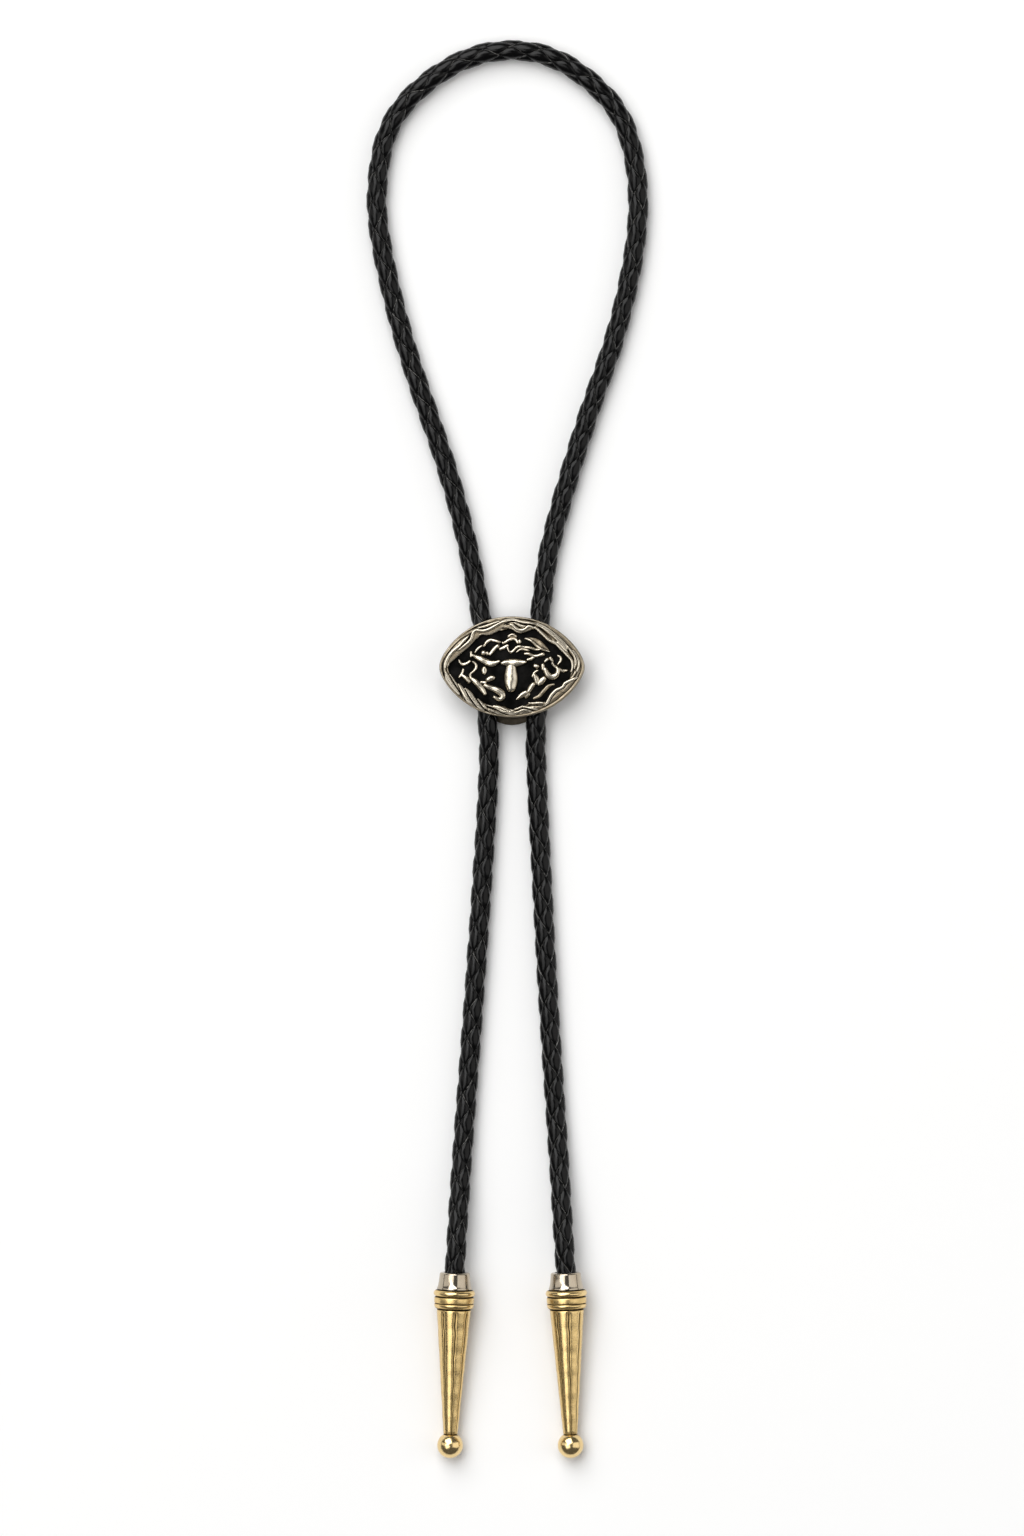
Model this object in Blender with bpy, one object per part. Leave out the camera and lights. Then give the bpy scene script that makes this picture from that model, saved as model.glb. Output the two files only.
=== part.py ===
"""Bolo tie: a braided leather cord drawn through a cast slide, with a metal tip on each end.

It lies flat on a surface at z = 0, with the neck loop towards +Y and the two tips towards -Y.
The origin is on that surface, under the middle of the slide. Lengths are in metres.
"""

import math

import bmesh
import bpy
import numpy as np
from mathutils import Matrix, Vector

MM = 0.001

# Cord
CORD_DIAMETER = 6.0 * MM
CORD_CLEARANCE = 0.35 * MM  # free space round the cord in whatever it passes through
CORD_STEPS = 78
CORD_BEVEL_RESOLUTION = 3

# Space between two metal pieces that sit face to face
PIECE_GAP = 0.3 * MM

# Slide: a cast plate with a pointed oval outline, a raised rim and a sunk floor
SLIDE_WIDTH = 44.3 * MM
SLIDE_HEIGHT = 30.8 * MM
OUTLINE_SIDE_POWER = 2.1
OUTLINE_END_POWER = 1.39
SLIDE_WALL_HEIGHT = 1.9 * MM  # straight side wall, from the back up to the rim's crown
FLOOR_THICKNESS = 1.4 * MM
FLOOR_DOME = 0.7 * MM
RIM_WIDTH = 3.6 * MM
RIM_RISE = 2.1 * MM  # crest of the rim over the floor's edge
RIDGE_RADIUS = 0.75 * MM
RIDGE_STAND = 0.35 * MM  # how far a ridge's crest stands over the rim's crown
RELIEF_ROOT = 0.4 * MM  # how far a relief stroke is sunk in the floor
OUTLINE_STEPS = 72

# Clip behind the slide: an oval plate, a spine between the two cords and a lip beyond each
CORD_SPACING = 16.0 * MM
PLATE_THICKNESS = 1.0 * MM
PLATE_LENGTH = 31.0 * MM
PLATE_SHIFT = -1.6 * MM  # the plate's middle lies this far towards the tips
SPINE_LENGTH = 14.0 * MM
LIP_THICKNESS = 1.2 * MM
LIP_HEIGHT = 3.6 * MM
LIP_SETBACK = 0.2 * MM
OVAL_STEPS = 40
LIP_STEPS = 8

# Tip: a ferrule, a banded collar and a tapered point that ends in a ball
FERRULE_LENGTH = 5.1 * MM
FERRULE_MOUTH_DIAMETER = 9.5 * MM
FERRULE_BASE_DIAMETER = 10.8 * MM
FERRULE_EDGE = 0.6 * MM
COLLAR_LENGTH = 5.7 * MM
COLLAR_DIAMETER = 12.7 * MM
COLLAR_BAND_DIAMETER = 12.0 * MM
COLLAR_GROOVE_DEPTH = 0.45 * MM
COLLAR_EDGE = 0.7 * MM  # how far the collar is rounded off at its ends
COLLAR_TOUCH_SHARE = 0.14  # where its widest band is, as a share of its length
POINT_LENGTH = 38.2 * MM  # from the collar to the ball
POINT_TOP_DIAMETER = 10.4 * MM
POINT_END_DIAMETER = 4.3 * MM
BALL_DIAMETER = 7.9 * MM
SOCKET_DEPTH = 8.0 * MM  # how far the cord runs into the tapered point
FLUTES = 8
FLUTE_DEPTH = 0.3 * MM  # depth of the creases between the flutes, at the wide end
CREASE_SHARES = (0.04, 0.5, 0.93)  # where a crease starts, bends and ends along the tapered point
TURNED_STEPS = 24
SHARP_ANGLE = 35
BALL_STEPS = 9

# Looks, as (colour, roughness, metallic)
CAST_SILVER = ((0.55, 0.51, 0.45), 0.32, 1.0)
POLISHED_NICKEL = ((0.60, 0.56, 0.50), 0.15, 1.0)
ANTIQUE_BRASS = ((0.66, 0.48, 0.20), 0.30, 1.0)
DARK_METAL = ((0.16, 0.15, 0.14), 0.45, 1.0)
BLACK_LEATHER = ((0.012, 0.012, 0.013), 0.42, 0.0)

# Where the cord and tips lie, measured from the middle of the slide
LOOP_REACH = 188.8 * MM  # to the cord's middle at the far side of the neck loop
LOOP_SIDE = 41.0 * MM  # to the cord's middle where the loop is widest, on the left
TIP_REACH = 184.0 * MM  # to the ferrules' mouths, along Y
LEFT_TIP_SIDE = 17.4 * MM
RIGHT_TIP_SIDE = 16.4 * MM
TIP_SPLAY = math.radians(1.6)

# The cord's free stretches. The last column is the share of its lift in the piece that it nears.
# Rows are shares of (tip's side, TIP_REACH, lift)
LEFT_FALL = [
    (-0.971, -0.948, 1.03), (-0.879, -0.815, 0.24), (-0.690, -0.576, 0.0), (-0.500, -0.318, 0.0),
]
RIGHT_FALL = [
    (0.537, -0.318, 0.0), (0.695, -0.576, 0.0), (0.872, -0.815, 0.24), (0.963, -0.948, 1.03),
]
# Rows are shares of (CORD_SPACING / 2, SLIDE_HEIGHT / 2, lift)
LEFT_UNDER_SLIDE = [(-0.875, -1.656, 0.22), (-0.925, -1.039, 0.97)]
RIGHT_UNDER_SLIDE = [(0.925, -1.039, 0.97), (0.912, -1.656, 0.22)]
# Rows are shares of (LOOP_SIDE, LOOP_REACH, lift)
LOOP = [
    (-0.227, 0.082, 0.95), (-0.268, 0.132, 0.2), (-0.339, 0.207, 0.0), (-0.502, 0.336, 0.0),
    (-0.800, 0.530, 0.0), (-0.998, 0.724, 0.0), (-1.0, 0.788, 0.0), (-0.949, 0.853, 0.0),
    (-0.785, 0.917, 0.0), (-0.383, 0.982, 0.0), (0.0, 1.0, 0.0), (0.361, 0.982, 0.0),
    (0.732, 0.917, 0.0), (0.878, 0.853, 0.0), (0.934, 0.724, 0.0), (0.756, 0.530, 0.0),
    (0.602, 0.433, 0.0), (0.293, 0.207, 0.0), (0.234, 0.132, 0.2), (0.207, 0.082, 0.95),
]

# Ridges that twist round the rim, as (turn in degrees, share of the way from its inner to its outer edge)
RIM_RIDGES = [
    [(181, 0.1), (192, 0.4), (204, 0.75), (213, 0.84)],
    [(191, 0.1), (204, 0.4), (216, 0.75), (226, 0.84)],
    [(203, 0.08), (216, 0.4), (228, 0.75), (240, 0.84)],
    [(216, 0.08), (229, 0.38), (243, 0.72), (256, 0.84)],
    [(231, 0.1), (245, 0.3), (261, 0.6), (280, 0.8)],
    [(250, 0.15), (264, 0.18), (282, 0.45), (300, 0.8)],
    [(272, 0.1), (286, 0.12), (302, 0.3), (322, 0.66), (344, 0.8)],
    [(298, 0.1), (311, 0.08), (324, 0.16), (338, 0.1), (352, 0.5)],
    [(340, 0.15), (356, 0.4), (372, 0.55), (388, 0.82)],
    [(353, 0.15), (368, 0.2), (384, 0.45), (402, 0.75), (424, 0.82)],
    [(382, 0.08), (398, 0.25), (414, 0.4), (434, 0.7), (452, 0.82)],
    [(410, 0.1), (424, 0.1), (438, 0.4), (452, 0.55)],
    [(432, 0.15), (442, 0.05), (450, 0.3), (459, 0.1), (466, 0.3)],
    [(456, 0.82), (470, 0.6), (484, 0.5), (498, 0.3)],
    [(470, 0.25), (484, 0.12), (498, 0.1), (512, 0.4)],
    [(488, 0.8), (504, 0.7), (520, 0.45), (541, 0.3)],
    [(503, 0.12), (518, 0.2), (532, 0.65), (546, 0.82)],
]

# Sprigs, leaves, berries and a mushroom on the floor, as (rise in mm, [(x mm, y mm, half width in mm)])
# on a slide of this width and height in mm
DRAWN_WIDTH, DRAWN_HEIGHT = 44.3, 30.8
RELIEF = {
    "mushroom_cap": (1.5, [(-3.6, 1.9, 0.2), (-2.9, 1.9, 0.9), (-1.2, 1.95, 1.3), (0.5, 2.0, 1.4),
                           (2.2, 2.0, 1.3), (3.9, 1.95, 0.9), (4.6, 1.95, 0.2)]),
    "mushroom_stem": (1.6, [(-0.35, 0.7, 0.9), (-0.35, -0.6, 1.25), (-0.35, -2.4, 1.75),
                            (-0.35, -4.4, 1.7), (-0.35, -6.0, 1.0), (-0.35, -6.8, 0.3)]),
    "low_branch": (1.2, [(-12.7, 5.2, 0.35), (-12.4, 4.4, 0.6), (-9.4, 3.0, 0.75), (-6.5, 1.9, 0.85),
                         (-5.1, 1.8, 0.7), (-4.2, 2.4, 0.35)]),
    "left_twig": (0.9, [(-11.5, 5.0, 0.3), (-10.8, 6.0, 0.5), (-9.9, 6.8, 0.3)]),
    "arch_twig": (1.1, [(-8.6, 6.4, 0.3), (-7.7, 7.8, 0.55), (-6.4, 8.9, 0.6), (-4.7, 8.7, 0.5),
                        (-2.9, 7.9, 0.35)]),
    "arch_berry": (1.2, [(-9.8, 4.9, 0.2), (-9.4, 4.9, 0.8), (-8.8, 4.9, 1.05), (-8.2, 4.9, 0.8),
                         (-7.8, 4.9, 0.2)]),
    "short_shoot": (1.1, [(-7.2, 4.1, 0.45), (-5.8, 5.4, 0.65), (-4.3, 6.9, 0.4)]),
    "bud_shoot": (1.0, [(-3.6, 6.2, 0.4), (-2.6, 6.7, 0.6), (-1.6, 7.3, 0.35)]),
    "curl": (1.1, [(-1.5, 6.0, 0.35), (-1.6, 7.6, 0.45), (-0.6, 8.8, 0.5), (0.9, 9.0, 0.55),
                   (2.1, 8.0, 0.5), (2.2, 6.9, 0.35)]),
    "curl_bud": (1.0, [(-0.7, 10.0, 0.2), (-0.3, 10.0, 0.6), (0.3, 10.1, 0.75), (0.9, 10.2, 0.6),
                       (1.3, 10.2, 0.2)]),
    "upper_vein": (0.9, [(-0.4, 5.0, 0.35), (0.7, 6.0, 0.5), (2.2, 6.5, 0.5), (4.6, 6.4, 0.45),
                         (7.2, 5.6, 0.35), (9.4, 5.3, 0.25)]),
    "lower_vein": (0.7, [(1.2, 5.1, 0.3), (2.7, 5.8, 0.4), (4.6, 5.5, 0.35), (6.6, 5.1, 0.25)]),
    "broad_leaf": (1.3, [(4.0, 9.1, 0.2), (5.6, 8.7, 0.7), (7.6, 7.8, 1.0), (9.6, 6.7, 0.9),
                         (11.0, 5.7, 0.5), (11.7, 5.2, 0.15)]),
    "fork": (1.1, [(3.8, 4.5, 0.35), (5.2, 4.3, 0.5), (6.8, 3.9, 0.55), (8.2, 4.2, 0.55),
                   (9.1, 4.4, 0.65), (9.7, 4.5, 0.25)]),
    "fork_arm": (1.0, [(6.9, 3.9, 0.45), (6.1, 3.2, 0.55), (5.0, 2.6, 0.35)]),
    "side_shoot": (1.1, [(-16.4, 2.2, 0.3), (-15.6, 1.3, 0.55), (-14.4, 1.3, 0.5), (-13.2, 2.1, 0.5),
                         (-12.7, 2.5, 0.2)]),
    "bow_twig": (1.1, [(-12.0, 2.2, 0.25), (-11.2, 1.0, 0.55), (-11.3, -0.4, 0.5), (-12.0, -1.6, 0.4)]),
    "bent_twig": (1.1, [(-14.3, 0.3, 0.25), (-14.8, -0.9, 0.45), (-15.0, -2.0, 0.55), (-14.0, -2.8, 0.65),
                        (-12.9, -3.6, 0.4)]),
    "long_pod": (1.2, [(-12.3, -2.3, 0.35), (-11.2, -3.3, 0.7), (-10.0, -4.9, 0.9), (-9.0, -6.6, 0.85),
                       (-8.5, -7.6, 0.35)]),
    "left_berry": (1.2, [(-8.4, 0.5, 0.2), (-8.4, 0.1, 0.7), (-8.4, -0.7, 0.95), (-8.4, -1.5, 0.7),
                         (-8.4, -1.9, 0.2)]),
    "stub": (1.1, [(-9.0, -4.2, 0.45), (-7.6, -3.6, 0.75), (-6.2, -2.8, 0.75), (-5.7, -2.6, 0.35)]),
    "hooked_stem": (1.3, [(-7.9, -4.8, 0.45), (-6.2, -5.5, 0.75), (-4.4, -6.3, 0.85), (-3.1, -7.4, 0.85),
                          (-3.2, -8.8, 0.75), (-4.6, -8.9, 0.5), (-5.3, -8.7, 0.25)]),
    "spear_leaf": (1.2, [(1.2, -9.5, 0.15), (2.5, -8.7, 0.6), (4.0, -7.6, 0.85), (4.9, -6.9, 0.5)]),
    "right_stem": (1.3, [(4.7, -7.0, 0.5), (5.8, -5.8, 0.75), (6.9, -4.5, 0.8), (7.7, -2.9, 1.1),
                         (8.0, -1.7, 0.7), (8.1, -1.0, 0.3)]),
    "right_bulb": (1.2, [(8.3, -4.5, 0.3), (8.9, -4.0, 0.9), (9.6, -3.2, 1.0), (10.4, -2.4, 0.5)]),
    "inner_arc": (0.9, [(6.3, -2.7, 0.25), (6.2, -1.7, 0.4), (6.8, -0.8, 0.4), (7.8, -0.3, 0.25)]),
    "right_berry": (1.1, [(6.5, 0.5, 0.2), (6.9, 0.5, 0.65), (7.4, 0.6, 0.8), (7.9, 0.7, 0.65),
                          (8.3, 0.7, 0.2)]),
    "right_curl": (1.3, [(9.7, 0.9, 0.3), (9.8, -0.4, 0.75), (10.7, -1.6, 0.85), (12.1, -2.0, 0.85),
                         (13.4, -1.5, 0.75), (13.7, -0.2, 0.45)]),
    "curl_knob": (1.1, [(9.4, 1.5, 0.2), (10.0, 1.8, 0.65), (10.6, 2.1, 0.5), (10.9, 2.3, 0.2)]),
    "top_knob": (1.1, [(11.3, 2.1, 0.2), (11.6, 2.6, 0.7), (11.8, 3.2, 0.6), (11.9, 3.6, 0.2)]),
    "right_twig": (1.0, [(12.2, 1.7, 0.3), (13.2, 0.6, 0.45), (14.4, -0.2, 0.4), (15.4, -0.3, 0.6),
                         (16.6, -0.3, 0.25)]),
    "right_arc": (0.9, [(13.8, 3.8, 0.25), (14.6, 3.1, 0.45), (14.7, 2.1, 0.45), (14.1, 1.0, 0.25)]),
    "low_leaf": (0.7, [(6.6, -9.1, 0.2), (8.4, -8.2, 0.55), (10.2, -6.7, 0.6), (11.6, -5.4, 0.45),
                       (12.6, -4.7, 0.15)]),
}

# Sizes that follow from the ones above
CORD_RADIUS = CORD_DIAMETER / 2
BORE_RADIUS = CORD_RADIUS + CORD_CLEARANCE
CORD_HEIGHT_IN_SLIDE = PLATE_THICKNESS + BORE_RADIUS
SLIDE_BACK_HEIGHT = CORD_HEIGHT_IN_SLIDE + BORE_RADIUS
LIP_INNER_HALF = CORD_SPACING / 2 + BORE_RADIUS
PLATE_WIDTH = 2 * (LIP_INNER_HALF + LIP_THICKNESS)
SPINE_WIDTH = CORD_SPACING - 2 * BORE_RADIUS
COLLAR_START = FERRULE_LENGTH + PIECE_GAP
POINT_START = COLLAR_START + COLLAR_LENGTH + PIECE_GAP
BALL_RADIUS = BALL_DIAMETER / 2
BALL_CENTRE = POINT_START + POINT_LENGTH + math.sqrt(BALL_RADIUS**2 - (POINT_END_DIAMETER / 2) ** 2)
CORD_END = POINT_START + SOCKET_DEPTH - PIECE_GAP

LEFT_MOUTH = (-LEFT_TIP_SIDE, -TIP_REACH)
RIGHT_MOUTH = (RIGHT_TIP_SIDE, -TIP_REACH)


def clear_scene():
    for obj in list(bpy.data.objects):
        bpy.data.objects.remove(obj)


def add_object(name, data, look=None):
    """Puts an object in the scene. Its look, if it has one, is (colour, roughness, metallic)."""
    obj = bpy.data.objects.new(name, data)
    bpy.context.scene.collection.objects.link(obj)
    if look is not None:
        colour, roughness, metallic = look
        made = bpy.data.materials.new(name)
        made.use_nodes = True
        shader = made.node_tree.nodes["Principled BSDF"]
        shader.inputs["Base Color"].default_value = (*colour, 1.0)
        shader.inputs["Roughness"].default_value = roughness
        shader.inputs["Metallic"].default_value = metallic
        data.materials.append(made)
    return obj


def mesh_from(bm, name):
    bmesh.ops.recalc_face_normals(bm, faces=bm.faces)
    mesh = bpy.data.meshes.new(name)
    bm.to_mesh(mesh)
    bm.free()
    return mesh


def helper(obj):
    """Marks an object that only shapes another one."""
    obj.hide_render = True
    obj.display_type = "WIRE"
    return obj


def unite(obj, helpers):
    """Fuses the helpers with the object, all at once."""
    group = bpy.data.collections.new(obj.name + "_added")
    bpy.context.scene.collection.children.link(group)
    for part in helpers:
        bpy.context.scene.collection.objects.unlink(part)
        group.objects.link(helper(part))
    union = obj.modifiers.new("fused", "BOOLEAN")
    union.operation = "UNION"
    union.solver = "EXACT"
    union.operand_type = "COLLECTION"
    union.collection = group


# Shapes that are lofted, extruded or turned


def loft(rings, closed=False):
    """A closed body through rings of as many points each: capped at both ends, or closed on itself."""
    bm = bmesh.new()
    loops = [[bm.verts.new(point) for point in ring] for ring in rings]
    pairs = list(zip(loops, loops[1:]))
    if closed:
        pairs.append((loops[-1], loops[0]))
    for low, high in pairs:
        for i in range(len(low)):
            j = (i + 1) % len(low)
            bm.faces.new((low[i], low[j], high[j], high[i]))
    if not closed:
        bm.faces.new(loops[0][::-1])
        bm.faces.new(loops[-1])
    return bm


def prism(outline, bottom, top):
    return loft([[(x, y, z) for x, y in outline] for z in (bottom, top)])


def turned(profile):
    """A body turned about Z from a profile of (radius, height) points.

    The profile starts and ends on the axis, or stays clear of it and is closed."""
    bm = bmesh.new()
    points = [bm.verts.new((radius, 0, height)) for radius, height in profile]
    edges = [bm.edges.new(pair) for pair in zip(points, points[1:])]
    if profile[0][0] > 0:
        edges.append(bm.edges.new((points[-1], points[0])))
    bmesh.ops.spin(
        bm, geom=points + edges, cent=(0, 0, 0), axis=(0, 0, 1), angle=math.tau,
        steps=TURNED_STEPS, use_merge=True,
    )
    bmesh.ops.remove_doubles(bm, verts=bm.verts, dist=1e-6)
    return bm


def shade_round(mesh):
    mesh.shade_smooth()
    mesh.set_sharp_from_angle(angle=math.radians(SHARP_ANGLE))


# Slide


def pointed_oval(turn, half_width, half_height):
    """The point of a pointed oval at a turn in radians from +X."""
    c, s = math.cos(turn), math.sin(turn)
    return (
        half_width * math.copysign(abs(c) ** (2 / OUTLINE_SIDE_POWER), c),
        half_height * math.copysign(abs(s) ** (2 / OUTLINE_END_POWER), s),
    )


def slide_point(turn, share):
    """A point of the slide in plan: share 1 is its edge, 0 the floor's edge, and -1 the middle."""
    outer = Vector(pointed_oval(turn, SLIDE_WIDTH / 2, SLIDE_HEIGHT / 2))
    inner = Vector(pointed_oval(turn, SLIDE_WIDTH / 2 - RIM_WIDTH, SLIDE_HEIGHT / 2 - RIM_WIDTH))
    return inner.lerp(outer, share) if share >= 0 else inner * (1 + share)


def floor_height(x, y):
    """Height of the slide's domed floor over its back."""
    across = x / (SLIDE_WIDTH / 2 - RIM_WIDTH)
    along = y / (SLIDE_HEIGHT / 2 - RIM_WIDTH)
    return FLOOR_THICKNESS + FLOOR_DOME * max(0.0, 1 - across**2 - along**2)


def crown_height(share):
    """Height of the rim over the slide's back, from its inner edge to its outer edge."""
    crest = FLOOR_THICKNESS + RIM_RISE
    if share < 0.35:
        return FLOOR_THICKNESS + RIM_RISE * math.sin(math.pi / 2 * share / 0.35)
    drop = (share - 0.35) / 0.65
    return crest - (crest - SLIDE_WALL_HEIGHT) * drop**2


def slide_body():
    turns = [math.tau * i / OUTLINE_STEPS for i in range(OUTLINE_STEPS)]

    def ring(share, height):
        return [(*slide_point(turn, share), SLIDE_BACK_HEIGHT + height) for turn in turns]

    rings = [ring(0.9, 0), ring(1, 0.1 * SLIDE_WALL_HEIGHT), ring(1, SLIDE_WALL_HEIGHT)]
    rings += [ring(share, crown_height(share)) for share in (0.82, 0.6, 0.35, 0.12, 0)]
    for share in (-0.35, -0.7):
        plan = [slide_point(turn, share) for turn in turns]
        rings.append([(x, y, SLIDE_BACK_HEIGHT + floor_height(x, y)) for x, y in plan])
    return mesh_from(loft(rings), "slide")


def stroke(points):
    """A raised stroke with a half-round section, through points of (x, y, half width, foot, crest)."""
    rings = []
    for i, (x, y, half, foot, crest) in enumerate(points):
        before, after = points[max(i - 1, 0)], points[min(i + 1, len(points) - 1)]
        along = Vector((after[0] - before[0], after[1] - before[1])).normalized()
        side = Vector((-along.y, along.x))
        section = [(-0.85, None), (0.85, None)] + [
            (math.cos(a), math.sin(a)) for a in (math.pi * k / 4 for k in range(5))
        ]
        ring = []
        for across, up in section:
            height = foot - RELIEF_ROOT if up is None else foot + (crest - foot) * up
            ring.append((x + side.x * half * across, y + side.y * half * across, height))
        rings.append(ring)
    return loft(rings)


def relief_stroke(name, rise, table):
    widest = max(half for _, _, half in table)
    points = []
    for across, along, half in table:
        x, y = across * SLIDE_WIDTH / DRAWN_WIDTH, along * SLIDE_HEIGHT / DRAWN_HEIGHT
        foot = SLIDE_BACK_HEIGHT + floor_height(x, y)
        points.append((x, y, half * MM, foot, foot + rise * MM * math.sqrt(half / widest)))
    return add_object("relief_" + name, mesh_from(stroke(points), name))


def rim_ridge(number, table):
    points = []
    for i, (turn, share) in enumerate(table):
        x, y = slide_point(math.radians(turn), share)
        crown = SLIDE_BACK_HEIGHT + crown_height(share)
        fade = 0.45 if i in (0, len(table) - 1) else 1.0
        stand = RIDGE_STAND * (0.3 if fade < 1 else 1.0)
        points.append((x, y, RIDGE_RADIUS * fade, crown - RIDGE_STAND, crown + stand))
    return add_object(f"rim_ridge_{number}", mesh_from(stroke(points), "rim_ridge"))


def make_slide():
    slide = add_object("slide", slide_body(), CAST_SILVER)
    added = [rim_ridge(i, table) for i, table in enumerate(RIM_RIDGES)]
    added += [relief_stroke(name, rise, table) for name, (rise, table) in RELIEF.items()]
    unite(slide, added)


# Clip


def oval(half_width, half_length, middle):
    return [
        (half_width * math.cos(a), middle + half_length * math.sin(a))
        for a in (math.tau * i / OVAL_STEPS for i in range(OVAL_STEPS))
    ]


def lip(side):
    """One lip in plan: the end of an oval just inside the plate's, cut off straight beside the cord."""
    half_width, half_length = PLATE_WIDTH / 2 - LIP_SETBACK, PLATE_LENGTH / 2 - LIP_SETBACK
    reach = math.acos(LIP_INNER_HALF / half_width)
    turns = [reach * (2 * i / LIP_STEPS - 1) for i in range(LIP_STEPS + 1)]
    return [(side * half_width * math.cos(a), PLATE_SHIFT + half_length * math.sin(a)) for a in turns]


def make_clip():
    outline = oval(PLATE_WIDTH / 2, PLATE_LENGTH / 2, PLATE_SHIFT)
    clip = add_object("clip", mesh_from(prism(outline, 0, PLATE_THICKNESS), "clip"), DARK_METAL)
    root = PLATE_THICKNESS / 2
    added = []
    for side, name in ((-1, "left"), (1, "right")):
        wall = prism(lip(side), root, PLATE_THICKNESS + LIP_HEIGHT)
        added.append(add_object(f"{name}_lip", mesh_from(wall, "lip")))
    end = SPINE_WIDTH / 2
    straight = SPINE_LENGTH / 2 - end
    spine = [
        (end * math.cos(a), math.copysign(straight, math.sin(a)) + end * math.sin(a))
        for a in (math.tau * (i + 0.5) / OVAL_STEPS for i in range(OVAL_STEPS))
    ]
    added.append(add_object("spine", mesh_from(prism(spine, root, SLIDE_BACK_HEIGHT - PIECE_GAP), "spine")))
    unite(clip, added)


# Tips


def ferrule_profile():
    mouth, base = FERRULE_MOUTH_DIAMETER / 2, FERRULE_BASE_DIAMETER / 2
    return [
        (BORE_RADIUS, 0), (mouth - FERRULE_EDGE, 0), (mouth - 0.3 * FERRULE_EDGE, 0.3 * FERRULE_EDGE),
        (mouth, FERRULE_EDGE), ((2 * mouth + base) / 3, 0.75 * FERRULE_LENGTH), (base, FERRULE_LENGTH),
        (BORE_RADIUS, FERRULE_LENGTH),
    ]


def collar_profile():
    """Three bands with grooves between them. Each row is a share of the length and a radius."""
    wide, band = COLLAR_DIAMETER / 2, COLLAR_BAND_DIAMETER / 2
    rows = [
        (0.0, wide - COLLAR_EDGE), (0.05, wide - 0.35 * COLLAR_EDGE), (COLLAR_TOUCH_SHARE, wide),
        (0.22, wide - 0.3 * COLLAR_EDGE), (0.28, band - COLLAR_GROOVE_DEPTH), (0.34, band),
        (0.66, band), (0.7, band - 0.7 * COLLAR_GROOVE_DEPTH), (0.74, band),
        (0.88, band - 0.15 * COLLAR_EDGE), (1.0, band - COLLAR_EDGE),
    ]
    outside = [(radius, share * COLLAR_LENGTH) for share, radius in rows]
    return [(BORE_RADIUS, 0), *outside, (BORE_RADIUS, COLLAR_LENGTH)]


def point_profile():
    """The tapered point from its socket's floor, round its top, down its side and round the ball."""
    top, end = POINT_TOP_DIAMETER / 2, POINT_END_DIAMETER / 2
    start = math.asin(end / BALL_RADIUS)
    ball_height = BALL_CENTRE - POINT_START
    profile = [(0, SOCKET_DEPTH), (BORE_RADIUS, SOCKET_DEPTH), (BORE_RADIUS, 0), (top, 0)]
    profile += [(top + (end - top) * share, share * POINT_LENGTH) for share in (*CREASE_SHARES, 1)]
    for i in range(1, BALL_STEPS):
        a = start + (math.pi - start) * i / BALL_STEPS
        profile.append((BALL_RADIUS * math.sin(a), ball_height - BALL_RADIUS * math.cos(a)))
    return [*profile, (0, ball_height + BALL_RADIUS)]


def press_creases(mesh):
    """Presses the creases between the flutes of the tapered point."""
    heights = [share * POINT_LENGTH for share in CREASE_SHARES]
    pressed = 1 - FLUTE_DEPTH / (POINT_TOP_DIAMETER / 2)
    for vertex in mesh.vertices:
        x, y, z = vertex.co
        turn = math.atan2(y, x) / math.tau * FLUTES
        if abs(turn - round(turn)) < 0.01 and any(abs(z - height) < 1e-6 for height in heights):
            vertex.co = (x * pressed, y * pressed, z)


def tip_pitch():
    """How far a tip's axis drops towards its ball, so that collar and ball both touch the surface."""
    along = BALL_CENTRE - COLLAR_START - COLLAR_TOUCH_SHARE * COLLAR_LENGTH
    rest = COLLAR_DIAMETER / 2
    return math.acos(BALL_RADIUS / math.hypot(rest, along)) - math.atan2(along, rest)


def mouth_height():
    touch = COLLAR_START + COLLAR_TOUCH_SHARE * COLLAR_LENGTH
    return COLLAR_DIAMETER / 2 * math.cos(tip_pitch()) + touch * math.sin(tip_pitch())


def tip_axis(mouth, side):
    """The middle of the ferrule's mouth, and the direction from there to the ball."""
    pitch = tip_pitch()
    level = Vector((side * math.sin(TIP_SPLAY), -math.cos(TIP_SPLAY), 0))
    return Vector((*mouth, mouth_height())), level * math.cos(pitch) - Vector((0, 0, math.sin(pitch)))


def make_tip(name, mouth, side):
    """One tip on an empty at the ferrule's mouth, whose Z runs down the tip's axis."""
    place, towards = tip_axis(mouth, side)
    holder = add_object(name + "_holder", None)
    holder.matrix_world = Matrix.Translation(place) @ towards.to_track_quat("Z", "Y").to_matrix().to_4x4()
    rows = (
        ("ferrule", ferrule_profile(), 0, POLISHED_NICKEL),
        ("collar", collar_profile(), COLLAR_START, ANTIQUE_BRASS),
        ("point", point_profile(), POINT_START, ANTIQUE_BRASS),
    )
    for part, profile, start, look in rows:
        mesh = mesh_from(turned(profile), part)
        if part == "point":
            press_creases(mesh)
        shade_round(mesh)
        obj = add_object(f"{name}_{part}", mesh, look)
        obj.parent = holder
        obj.location = (0, 0, start)


# Cord


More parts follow.
